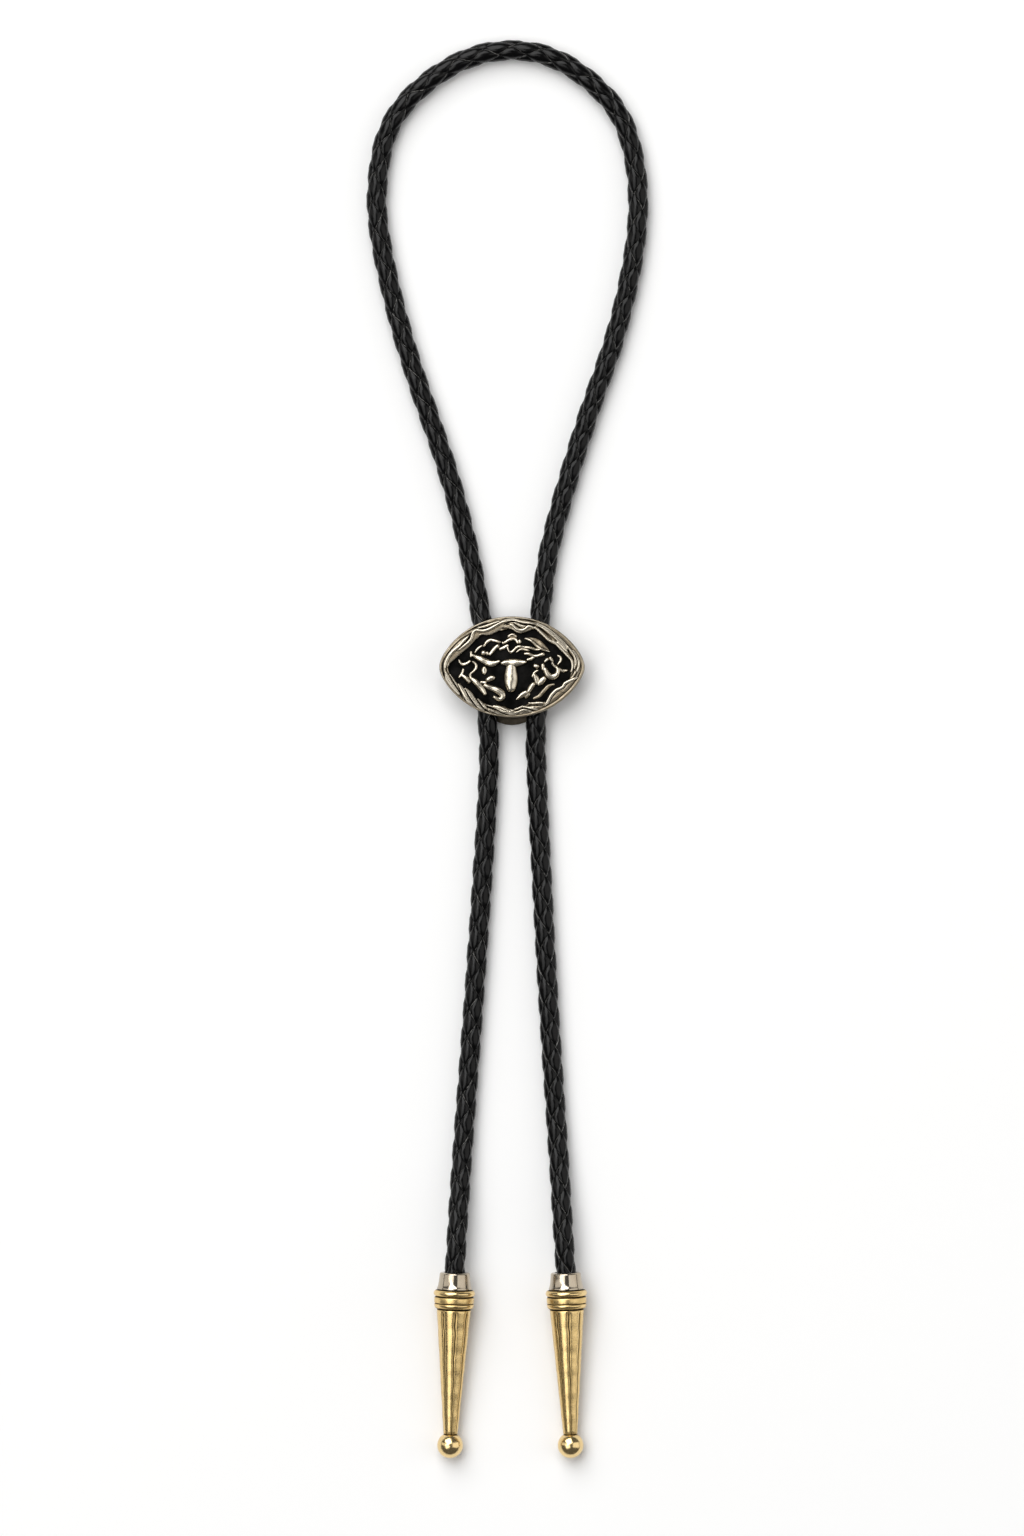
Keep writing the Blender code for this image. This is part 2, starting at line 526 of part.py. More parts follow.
def through(points, count):
    """Points evenly spaced along the smooth curve that passes through the given ones."""
    points = np.array(points, float)
    steps = np.sqrt(np.linalg.norm(np.diff(points, axis=0), axis=1))
    knots = np.concatenate([[0], np.cumsum(steps)])
    n = len(points)
    system, right = np.eye(n), np.zeros((n, 3))
    for i in range(1, n - 1):
        before, after = knots[i] - knots[i - 1], knots[i + 1] - knots[i]
        system[i, i - 1 : i + 2] = before, 2 * (before + after), after
        right[i] = 6 * ((points[i + 1] - points[i]) / after - (points[i] - points[i - 1]) / before)
    bend = np.linalg.solve(system, right)
    fine = []
    for i in range(n - 1):
        span = knots[i + 1] - knots[i]
        for u in np.linspace(0, 1, 40, endpoint=i == n - 2):
            v = 1 - u
            fine.append(
                v * points[i] + u * points[i + 1]
                + span**2 / 6 * ((v**3 - v) * bend[i] + (u**3 - u) * bend[i + 1])
            )
    fine = np.array(fine)
    along = np.concatenate([[0], np.cumsum(np.linalg.norm(np.diff(fine, axis=0), axis=1))])
    at = np.linspace(0, along[-1], count)
    return np.stack([np.interp(at, along, fine[:, k]) for k in range(3)], axis=1)


def cord_route():
    tip_lift = mouth_height() - CORD_RADIUS
    slide_lift = CORD_HEIGHT_IN_SLIDE - CORD_RADIUS

    def laid(rows, width, height, lift):
        return [(x * width, y * height, CORD_RADIUS + share * lift) for x, y, share in rows]

    def under_slide(rows):
        return laid(rows, CORD_SPACING / 2, SLIDE_HEIGHT / 2, slide_lift)

    def in_tip(mouth, side):
        place, towards = tip_axis(mouth, side)
        return [tuple(place + towards * CORD_END), tuple(place)]

    def in_slide(side):
        x = side * CORD_SPACING / 2
        return [(x, end * SPINE_LENGTH / 2, CORD_HEIGHT_IN_SLIDE) for end in (-1, 1)]

    return [
        *in_tip(LEFT_MOUTH, -1), *laid(LEFT_FALL, LEFT_TIP_SIDE, TIP_REACH, tip_lift),
        *under_slide(LEFT_UNDER_SLIDE), *in_slide(-1),
        *laid(LOOP, LOOP_SIDE, LOOP_REACH, slide_lift),
        *in_slide(1)[::-1], *under_slide(RIGHT_UNDER_SLIDE),
        *laid(RIGHT_FALL, RIGHT_TIP_SIDE, TIP_REACH, tip_lift), *in_tip(RIGHT_MOUTH, 1)[::-1],
    ]


def make_cord():
    curve = bpy.data.curves.new("cord", "CURVE")
    curve.dimensions = "3D"
    curve.bevel_depth = CORD_RADIUS
    curve.bevel_resolution = CORD_BEVEL_RESOLUTION
    curve.use_fill_caps = True
    spline = curve.splines.new("POLY")
    points = through(cord_route(), CORD_STEPS)
    points[:, 2] = np.maximum(points[:, 2], CORD_RADIUS)
    spline.points.add(len(points) - 1)
    for target, point in zip(spline.points, points):
        target.co = (*point, 1)
    add_object("cord", curve, BLACK_LEATHER)


def main():
    clear_scene()
    make_slide()
    make_clip()
    make_tip("left", LEFT_MOUTH, -1)
    make_tip("right", RIGHT_MOUTH, 1)
    make_cord()


main()
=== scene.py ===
"""The bolo tie's looks: braided leather cord, cast slide, clip and tips, laid on a pale floor.

Lengths are in millimetres while a shape is worked out, and in metres in Blender.
"""

import math

import bpy
import numpy as np
from mathutils import Matrix, Vector


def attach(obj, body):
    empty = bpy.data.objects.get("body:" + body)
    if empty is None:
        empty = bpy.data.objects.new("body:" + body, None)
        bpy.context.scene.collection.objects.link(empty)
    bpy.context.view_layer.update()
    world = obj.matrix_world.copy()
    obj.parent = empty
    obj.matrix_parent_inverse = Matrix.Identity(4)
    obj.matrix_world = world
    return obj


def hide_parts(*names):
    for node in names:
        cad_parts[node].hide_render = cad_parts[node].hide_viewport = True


MM = 0.001

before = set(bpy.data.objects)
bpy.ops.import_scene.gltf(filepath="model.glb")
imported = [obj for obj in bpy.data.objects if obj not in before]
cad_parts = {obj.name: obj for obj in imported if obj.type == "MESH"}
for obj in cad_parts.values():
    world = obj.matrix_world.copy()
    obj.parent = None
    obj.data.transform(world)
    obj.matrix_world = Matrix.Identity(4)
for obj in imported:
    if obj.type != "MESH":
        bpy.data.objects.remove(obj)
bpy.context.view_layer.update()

# Camera

CAMERA_HEIGHT = 4.4
VIEW_MIDDLE = (0.0, -0.0302)
VIEW_HEIGHT = 0.4685
SENSOR = 36.0
SCALE_LEVEL = 0.005  # the height over the floor at which VIEW_HEIGHT holds
FAR = 50

camera_data = bpy.data.cameras.new("camera")
camera_data.sensor_width = SENSOR
camera_data.lens = SENSOR * CAMERA_HEIGHT / VIEW_HEIGHT
camera_data.clip_end = FAR
camera = bpy.data.objects.new("camera", camera_data)
camera.location = (*VIEW_MIDDLE, CAMERA_HEIGHT + SCALE_LEVEL)
bpy.context.scene.collection.objects.link(camera)
bpy.context.scene.camera = camera

# Sizes and places shared with the solids, in mm

CORD_RADIUS = 3.0
CORD_SPACING = 16.0
CORD_HEIGHT_IN_SLIDE = 4.35
SPINE_LENGTH = 14.0
SLIDE_HEIGHT = 30.8
SLIDE_WIDTH = 44.3
SLIDE_SHIFT = 0.6
SLIDE_BACK_HEIGHT = 7.7
LOOP_REACH = 188.8
LOOP_SIDE = 41.0
TIP_REACH = 184.0
LEFT_TIP_SIDE = 17.4
RIGHT_TIP_SIDE = 16.4
TIP_SPLAY = math.radians(1.6)
FERRULE_LENGTH = 5.1
COLLAR_START = 5.4
COLLAR_LENGTH = 5.7
COLLAR_RADIUS = 6.35
COLLAR_TOUCH_SHARE = 0.14
POINT_START = 11.4
POINT_LENGTH = 38.2
POINT_END_RADIUS = 2.15
BALL_RADIUS = 3.95
BALL_CENTRE = POINT_START + POINT_LENGTH + math.sqrt(BALL_RADIUS**2 - POINT_END_RADIUS**2)
CORD_END = 19.1

# The cord's free stretches. The last column is the share of its lift in the piece that it nears.
# Rows are shares of (the tip's side, TIP_REACH, lift)
LEFT_FALL = [
    (-0.971, -0.948, 1.03), (-0.879, -0.815, 0.24), (-0.690, -0.576, 0.0), (-0.500, -0.318, 0.0),
]
RIGHT_FALL = [
    (0.537, -0.318, 0.0), (0.695, -0.576, 0.0), (0.872, -0.815, 0.24), (0.963, -0.948, 1.03),
]
# Rows are shares of (CORD_SPACING / 2, SLIDE_HEIGHT / 2, lift)
LEFT_UNDER_SLIDE = [(-0.875, -1.656, 0.22), (-0.925, -1.039, 0.97)]
RIGHT_UNDER_SLIDE = [(0.925, -1.039, 0.97), (0.912, -1.656, 0.22)]
# Rows are shares of (LOOP_SIDE, LOOP_REACH, lift)
LOOP = [
    (-0.227, 0.082, 0.95), (-0.268, 0.132, 0.2), (-0.339, 0.207, 0.0), (-0.502, 0.336, 0.0),
    (-0.800, 0.530, 0.0), (-0.998, 0.724, 0.0), (-1.0, 0.788, 0.0), (-0.949, 0.853, 0.0),
    (-0.785, 0.917, 0.0), (-0.383, 0.982, 0.0), (0.0, 1.0, 0.0), (0.361, 0.982, 0.0),
    (0.732, 0.917, 0.0), (0.878, 0.853, 0.0), (0.934, 0.724, 0.0), (0.756, 0.530, 0.0),
    (0.602, 0.433, 0.0), (0.293, 0.207, 0.0), (0.234, 0.132, 0.2), (0.207, 0.082, 0.95),
]


def tip_pitch():
    """How steeply a tip's axis falls, so that its collar and its ball both touch the surface."""
    along = BALL_CENTRE - COLLAR_START - COLLAR_TOUCH_SHARE * COLLAR_LENGTH
    return math.acos(BALL_RADIUS / math.hypot(COLLAR_RADIUS, along)) - math.atan2(along, COLLAR_RADIUS)


def mouth_height():
    """How high the middle of a ferrule's mouth is."""
    touch = COLLAR_START + COLLAR_TOUCH_SHARE * COLLAR_LENGTH
    return COLLAR_RADIUS * math.cos(tip_pitch()) + touch * math.sin(tip_pitch())


def tip_axis(side):
    """The middle of a ferrule's mouth, and the direction from there to the ball."""
    pitch = tip_pitch()
    x = -LEFT_TIP_SIDE if side < 0 else RIGHT_TIP_SIDE
    level = np.array([side * math.sin(TIP_SPLAY), -math.cos(TIP_SPLAY), 0])
    return np.array([x, -TIP_REACH, mouth_height()]), level * math.cos(pitch) - [0, 0, math.sin(pitch)]


# Curves


def smooth_line(rows, fine=40):
    """Points close together on the smooth curve through the rows, which may have any columns."""
    rows = np.array(rows, float)
    steps = np.sqrt(np.linalg.norm(np.diff(rows[:, :3], axis=0), axis=1))
    knots = np.concatenate([[0], np.cumsum(steps)])
    n = len(rows)
    system, right = np.eye(n), np.zeros_like(rows)
    for i in range(1, n - 1):
        before, after = steps[i - 1], steps[i]
        system[i, i - 1 : i + 2] = before, 2 * (before + after), after
        right[i] = 6 * ((rows[i + 1] - rows[i]) / after - (rows[i] - rows[i - 1]) / before)
    bend = np.linalg.solve(system, right)
    out = []
    for i in range(n - 1):
        span = knots[i + 1] - knots[i]
        u = np.linspace(0, 1, fine, endpoint=i == n - 2)[:, None]
        v = 1 - u
        straight = v * rows[i] + u * rows[i + 1]
        out.append(straight + span**2 / 6 * ((v**3 - v) * bend[i] + (u**3 - u) * bend[i + 1]))
    return np.concatenate(out)


def evenly(line, count):
    """The line as count points a like distance apart, and its length."""
    along = np.concatenate([[0], np.cumsum(np.linalg.norm(np.diff(line, axis=0), axis=1))])
    at = np.linspace(0, along[-1], count)
    return np.stack([np.interp(at, along, line[:, k]) for k in range(line.shape[1])], axis=1), along[-1]


def cord_route():
    """The cord's chosen points, from the end in the left tip round to the end in the right one."""
    tip_lift = mouth_height() - CORD_RADIUS
    slide_lift = CORD_HEIGHT_IN_SLIDE - CORD_RADIUS

    def laid(rows, width, height, lift):
        return [(x * width, y * height, CORD_RADIUS + share * lift) for x, y, share in rows]

    def under_slide(rows):
        return laid(rows, CORD_SPACING / 2, SLIDE_HEIGHT / 2, slide_lift)

    def in_tip(side):
        place, towards = tip_axis(side)
        return [tuple(place + towards * CORD_END), tuple(place)]

    def in_slide(side):
        return [(side * CORD_SPACING / 2, end * SPINE_LENGTH / 2, CORD_HEIGHT_IN_SLIDE) for end in (-1, 1)]

    return [
        *in_tip(-1), *laid(LEFT_FALL, LEFT_TIP_SIDE, TIP_REACH, tip_lift),
        *under_slide(LEFT_UNDER_SLIDE), *in_slide(-1),
        *laid(LOOP, LOOP_SIDE, LOOP_REACH, slide_lift),
        *in_slide(1)[::-1], *under_slide(RIGHT_UNDER_SLIDE),
        *laid(RIGHT_FALL, RIGHT_TIP_SIDE, TIP_REACH, tip_lift), *in_tip(1)[::-1],
    ]


# Meshes from arrays


def mesh_object(name, points, faces, attributes=None, sharp=None):
    """points are in mm, attributes are name: one value a point, sharp is an angle in degrees."""
    mesh = bpy.data.meshes.new(name)
    mesh.from_pydata((np.asarray(points) * MM).tolist(), [], [list(map(int, f)) for f in faces])
    for key, values in (attributes or {}).items():
        mesh.attributes.new(key, "FLOAT", "POINT").data.foreach_set("value", np.asarray(values, np.float32))
    mesh.shade_smooth()
    if sharp:
        mesh.set_sharp_from_angle(angle=math.radians(sharp))
    mesh.update()
    obj = bpy.data.objects.new(name, mesh)
    bpy.context.scene.collection.objects.link(obj)
    return obj


def grid_faces(rows, columns, start=0, wrap=True):
    """Quads of a grid of points stored row by row, closed round its columns if wrap."""
    i = np.arange(rows - 1)[:, None]
    j = np.arange(columns if wrap else columns - 1)[None, :]
    k = (j + 1) % columns
    here = i * columns
    after = (i + 1) * columns
    quads = np.stack([here + j, here + k, after + k, after + j], axis=-1)
    return quads.reshape(-1, 4) + start


# Materials


class Shader:
    """A Principled material with short calls for its nodes."""

    def __init__(self, name):
        self.material = bpy.data.materials.new(name)
        self.material.use_nodes = True
        self.tree = self.material.node_tree
        self.principled = self.tree.nodes["Principled BSDF"]

    def node(self, kind, settings=None, **inputs):
        """Inputs go by name, or by number as _0 and _1."""
        node = self.tree.nodes.new(kind)
        for key, value in (settings or {}).items():
            setattr(node, key, value)
        for key, value in inputs.items():
            self.put(node.inputs[int(key[1:]) if key[1:].isdigit() else key.replace("_", " ")], value)
        return node

    def put(self, socket, value):
        if isinstance(value, bpy.types.NodeSocket):
            self.tree.links.new(value, socket)
        else:
            socket.default_value = value

    def attribute(self, name):
        return self.node("ShaderNodeAttribute", {"attribute_name": name}).outputs["Fac"]

    def noise(self, scale, detail=4.0, roughness=0.55, stretch=(1, 1, 1)):
        place = self.node("ShaderNodeTexCoord").outputs["Object"]
        if stretch != (1, 1, 1):
            place = self.node("ShaderNodeMapping", Vector=place, Scale=stretch).outputs["Vector"]
        made = self.node("ShaderNodeTexNoise", Vector=place, Scale=scale, Detail=detail, Roughness=roughness)
        return made.outputs["Fac"]

    def math(self, operation, a, b=0.0, clamp=False):
        settings = {"operation": operation, "use_clamp": clamp}
        return self.node("ShaderNodeMath", settings, _0=a, _1=b).outputs[0]

    def remap(self, value, low, high, to_low=0.0, to_high=1.0):
        made = self.node("ShaderNodeMapRange", {"interpolation_type": "SMOOTHSTEP"}, Value=value)
        for index, number in ((1, low), (2, high), (3, to_low), (4, to_high)):
            made.inputs[index].default_value = number
        return made.outputs["Result"]

    def mix(self, factor, a, b):
        """A colour between a and b."""
        made = self.node("ShaderNodeMix", {"data_type": "RGBA"})
        self.put(made.inputs["Factor"], factor)
        colours = [s for s in made.inputs if s.type == "RGBA"]
        for socket, value in zip(colours, (a, b)):
            self.put(socket, value if isinstance(value, bpy.types.NodeSocket) else (*value, 1.0))
        return next(s for s in made.outputs if s.type == "RGBA")

    def bump(self, height, distance, strength=1.0, normal=None):
        made = self.node("ShaderNodeBump", Height=height, Distance=distance, Strength=strength)
        if normal is not None:
            self.put(made.inputs["Normal"], normal)
        return made.outputs["Normal"]

    def set(self, **inputs):
        for key, value in inputs.items():
            if isinstance(value, tuple):
                value = (*value, 1.0)
            self.put(self.principled.inputs[key.replace("_", " ")], value)
        return self.material


LEATHER_DARK = (0.001, 0.001, 0.0011)
LEATHER_LIGHT = (0.002, 0.002, 0.0022)
# pale colour of the thongs' cut edges: worn raw leather with a painted glint on it
LEATHER_PALE_EDGE_AND_GLINT = (0.26, 0.254, 0.242)
NICKEL_BRIGHT = (0.53, 0.465, 0.37)
NICKEL_DULL = (0.43, 0.365, 0.275)
NICKEL_DARKENING_COLOUR = (0.05, 0.04, 0.03)
CLIP_DARK = (0.035, 0.030, 0.022)
CLIP_LIGHT = (0.10, 0.085, 0.065)
PATINA_ROUGHNESS = 0.5
METAL_GRAIN_DEPTH = 0.00003
CLIP_GRAIN_DEPTH = 0.00004
LEATHER_GRAIN_DEPTH = 0.00002
LEATHER_CRINKLE_DEPTH = 0.00004


def leather():
    """Black leather, pale in places along the thongs' cut edges: partly worn raw leather, partly a painted
    highlight.
    """
    s = Shader("black_leather")
    edge = s.remap(s.attribute("across"), 0.89, 0.98)
    tone = s.attribute("tone")
    # patches along the cut edges painted pale: partly worn raw leather, partly a painted highlight
    pale_edge_and_glint_patches = s.noise(900, 3.0)
    base = s.mix(tone, LEATHER_DARK, LEATHER_LIGHT)
    base = s.mix(s.math("MULTIPLY", edge, s.remap(pale_edge_and_glint_patches, 0.32, 0.62)), base, LEATHER_PALE_EDGE_AND_GLINT)
    grain = s.noise(4200, 5.0, 0.6)
    crinkle = s.noise(1500, 3.0, 0.5)
    wrinkled = s.bump(crinkle, LEATHER_CRINKLE_DEPTH, 0.5)
    normal = s.bump(grain, LEATHER_GRAIN_DEPTH, 0.5, wrinkled)
    roughness = s.remap(crinkle, 0.3, 0.7, 0.16, 0.24)
    return s.set(Base_Color=base, Roughness=roughness, Normal=normal, Specular_IOR_Level=0.2)


def antique_metal(name, bright, mid, dark, sheen, smooth, grain_scale):
    """Metal with a dark patina, a little paler in patches, where its polish attribute is low."""
    s = Shader(name)
    polish = s.attribute("polish")
    patches = s.noise(700, 5.0, 0.65)
    speckle = s.noise(grain_scale, 4.0, 0.6)
    wear_from_patches = s.remap(patches, 0.3, 0.7, -0.1, 0.06)
    wear_from_speckle = s.remap(speckle, 0.3, 0.7, -0.1, 0.06)
    rough_wear = s.math("ADD", wear_from_patches, wear_from_speckle)
    rough_wear = s.math("MULTIPLY", rough_wear, s.remap(polish, 0.04, 0.5))
    amount = s.math("ADD", polish, rough_wear, clamp=True)
    tint = s.mix(s.remap(amount, 0.35, 0.95), mid, bright)
    patina = s.mix(s.remap(s.noise(230, 3.0), 0.42, 0.68), dark, sheen)
    base = s.mix(s.remap(amount, 0.1, 0.4), patina, tint)
    metallic = s.remap(amount, 0.08, 0.3)
    roughness = s.remap(amount, 0.1, 0.9, PATINA_ROUGHNESS, smooth)
    dented = s.bump(patches, METAL_GRAIN_DEPTH, 0.5)
    normal = s.bump(speckle, METAL_GRAIN_DEPTH, 0.6, dented)
    return s.set(
        Base_Color=base,
        Metallic=metallic,
        Roughness=roughness,
        Normal=normal,
        Specular_IOR_Level=0.04,
    )


def polished_nickel():
    """Smooth nickel, darkened where its attribute is high: inside the bore and at the end next to the
    collar.
    """
    s = Shader("polished_nickel")
    smear = s.noise(260, 4.0, 0.55, (1, 0.35, 1))
    base = s.mix(s.remap(smear, 0.3, 0.7), NICKEL_BRIGHT, NICKEL_DULL)
    # darker nickel inside the bore and at the end next to the collar, by the attribute
    base = s.mix(s.attribute("nickel_darkening"), base, NICKEL_DARKENING_COLOUR)
    return s.set(Base_Color=base, Metallic=1.0, Roughness=s.remap(smear, 0.3, 0.7, 0.09, 0.16))


def dark_metal():
    """The clip's dull metal, streaked from side to side."""
    s = Shader("dark_metal")
    streaks = s.noise(500, 5.0, 0.6, (0.3, 1, 1))
    base = s.mix(s.remap(streaks, 0.3, 0.7), CLIP_DARK, CLIP_LIGHT)
    normal = s.bump(s.noise(2500, 3.0), CLIP_GRAIN_DEPTH, 0.5)
    roughness = s.remap(streaks, 0.3, 0.7, 0.32, 0.48)
    return s.set(Base_Color=base, Metallic=1.0, Roughness=roughness, Normal=normal)


# Cord: six flat thongs, three each way, each over one and under one

THONGS_EACH_WAY = 3
LAY = 26.0  # length of one turn of a thong
THONG_THICKNESS = 0.85
THONG_CROWN = 0.52  # how much lower a thong's edges are than its middle
THONG_TOP = 0.5 * THONG_THICKNESS
THONG_UNDERSIDE = -0.45 * THONG_THICKNESS
BRAID_RADIUS = 2.37  # where overs and unders meet
SWING = 0.42  # how far a thong goes out and in from there
SEGMENTS_A_CELL = 10
OVER_FLATNESS = 1.8  # the higher, the quicker a thong goes from over to under
LINE_POINTS = 1700
SURFACE_GAP = 0.02  # between the cord's lowest points and the floor
THONG_LAP = 1.05  # a thong's width over the room that it has, so its edges lap
# Section of a thong, as (share of its half width, height over its middle line)
THONG_SECTION = [
    (-1.0, THONG_TOP - THONG_CROWN), (-0.8, THONG_TOP - 0.45 * THONG_CROWN),
    (-0.35, THONG_TOP - 0.06 * THONG_CROWN), (0.35, THONG_TOP - 0.06 * THONG_CROWN),
    (0.8, THONG_TOP - 0.45 * THONG_CROWN), (1.0, THONG_TOP - THONG_CROWN),
    (0.9, THONG_UNDERSIDE), (-0.9, THONG_UNDERSIDE),
]


def make_cord():
    """Each thong winds round the cord's line. p counts along it, and cell is p from crossing to crossing."""
    line, length = evenly(smooth_line(cord_route()), LINE_POINTS)
    line[:, 2] = np.maximum(line[:, 2], CORD_RADIUS)
    tangent = np.gradient(line, axis=0)
    tangent /= np.linalg.norm(tangent, axis=1)[:, None]
    side = np.cross(tangent, [0, 0, 1])
    side /= np.linalg.norm(side, axis=1)[:, None]
    rise = np.cross(side, tangent)
    station = np.linspace(0, length, len(line))

    def at(values, z):
        return np.stack([np.interp(z, station, values[:, k]) for k in range(3)], axis=-1)

    across = np.array([a for a, _ in THONG_SECTION])
    height = np.array([h for _, h in THONG_SECTION])
    cell = math.tau / THONGS_EACH_WAY
    count = int(4 * math.pi * length / LAY / cell * SEGMENTS_A_CELL)
    p = np.linspace(0, 4 * math.pi * length / LAY, count)[:, None]
    half = cell / 2 * THONG_LAP
    points, faces, edge, tone = [], [], [], []
    for strand in range(2 * THONGS_EACH_WAY):
        way = 1 if strand < THONGS_EACH_WAY else -1
        own = 0.35 * math.sin(strand * 2.1)
        slow_wobble = 0.035 * np.sin(p * 0.37 + strand * 1.7)
        wobble = slow_wobble + 0.025 * np.sin(p * 0.91 + strand)
        z = (p - way * across * half) * LAY / (4 * math.pi)
        turn = strand * cell + (across * half + way * p) / 2 + wobble
        over = way * np.tanh(OVER_FLATNESS * np.cos(math.pi * p / cell)) / math.tanh(OVER_FLATNESS)
        radius = BRAID_RADIUS + SWING * over * (1 - 0.05 * np.sin(p * 0.53 + own)) + height
        z = np.clip(z, 0, length)
        place = at(line, z) + radius[..., None] * (
            np.cos(turn)[..., None] * at(side, z) + np.sin(turn)[..., None] * at(rise, z)
        )
        start = len(points) * place.shape[0] * place.shape[1]
        points.append(place.reshape(-1, 3))
        quads = grid_faces(count, len(THONG_SECTION), start)
        faces.append(quads if way > 0 else quads[:, ::-1])
        edge.append(np.broadcast_to(np.abs(across) * (height > height.min()), radius.shape).ravel())
        own_tone = 0.5 + 0.5 * np.sin(p * 2.3 + strand * 1.3)
        tone.append(np.broadcast_to(own_tone, radius.shape).ravel())
    points, faces = np.concatenate(points), np.concatenate(faces)
    points[:, 2] = np.maximum(points[:, 2], SURFACE_GAP)
    attributes = {"across": np.concatenate(edge), "tone": np.concatenate(tone)}
    cord = mesh_object("braided_cord", points, faces, attributes)
    cord.data.materials.append(leather())
    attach(cord, "root")
    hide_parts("cord")


make_cord()

# Slide: a height field over an even grid that fills its outline

OUTLINE_SIDE_POWER = 2.1
OUTLINE_END_POWER = 1.39
OUTLINE_BLUNTNESS = 0.8  # rounds the slide's two ends
SLIDE_GRID = (350, 240)
LIP_HALF = 0.3  # half the width of the smooth lip round the rim
LIP_WIDENING = 0.25  # and how much is added to that at the right
LIP_RISE = 0.2
LIP_BASE = 2.0
EDGE_ROUND = 0.4
FLOOR_LOW = 1.4  # the floor's height at its edge
FLOOR_DOME = 0.7  # and how much higher its middle is
DOME_HALF_WIDTH = 18.5
DOME_HALF_HEIGHT = 11.8
FLOOR_WAVE = 0.1
RIM_STEP = 0.5  # how wide the step from the floor to the rim is
RIM_LOW = 2.1  # the rim's height at the lip
RIM_RISE = 0.7  # and how much higher it is further in
FOLD_WIDTH = 1.15
FOLD_HEIGHT = 0.11
LIP_POLISH = 0.5
RIM_POLISH = 0.38
FOLD_POLISH = 0.26
RELIEF_POLISH = 0.22
# What the tables' half widths and heights are multiplied by, and how square the strokes' sections are
RIDGE_WIDENING = 1.3
RIDGE_HEIGHT = 0.6
RIDGE_POWER = 3.0
GROOVE_WIDENING = 1.1
GROOVE_DEPTH = 0.8
GROOVE_POWER = 2.5
RELIEF_WIDENING = 1.32
RELIEF_HEIGHT = 0.85
RELIEF_POWER = 2.6
STROKE_STEPS = 8
THINNEST_HALF = 0.1
FARTHEST = 30.0  # a distance beyond the slide's outline
SMOOTHINGS = 12  # rounds of averaging that find the hollows
HOLLOW_DARKENING = 6
CREST_BRIGHTENING = 3
HALVINGS = 40
SIDE_POLISH = 0.62
BACK_POLISH = 0.4
# Rings down the slide's side, as (share of the outline's size, share of its edge's height)
SIDE_RINGS = ((1.0, 0.9), (1.0, 0.55), (1.0, 0.2), (0.995, 0.07), (0.985, 0.0), (0.96, 0.0))

# The floor's edge, as (turn in degrees, distance from the middle)
FLOOR_EDGE = [
    (2, 18.3), (7, 17.9), (16, 16.7), (28, 15.5), (38, 14.1), (50, 14.0), (60, 13.9), (66, 12.8), (76, 11.8),
    (85, 12.2), (91, 12.8), (98, 12.1), (105, 12.0), (116, 12.5), (124, 12.9), (134, 13.9), (143, 14.3),
    (150, 14.9), (159, 16.0), (167, 17.4), (174, 18.8), (179, 19.5), (185, 19.0), (191, 17.9), (199, 16.1),
    (208, 14.6), (219, 14.0), (227, 13.4), (235, 13.2), (243, 12.5), (251, 11.7), (259, 11.6), (267, 12.1),
    (274, 12.3), (284, 11.8), (297, 11.7), (308, 12.4), (315, 14.3), (321, 14.3), (328, 14.3), (338, 15.5),
    (347, 17.4), (353, 17.8),
]
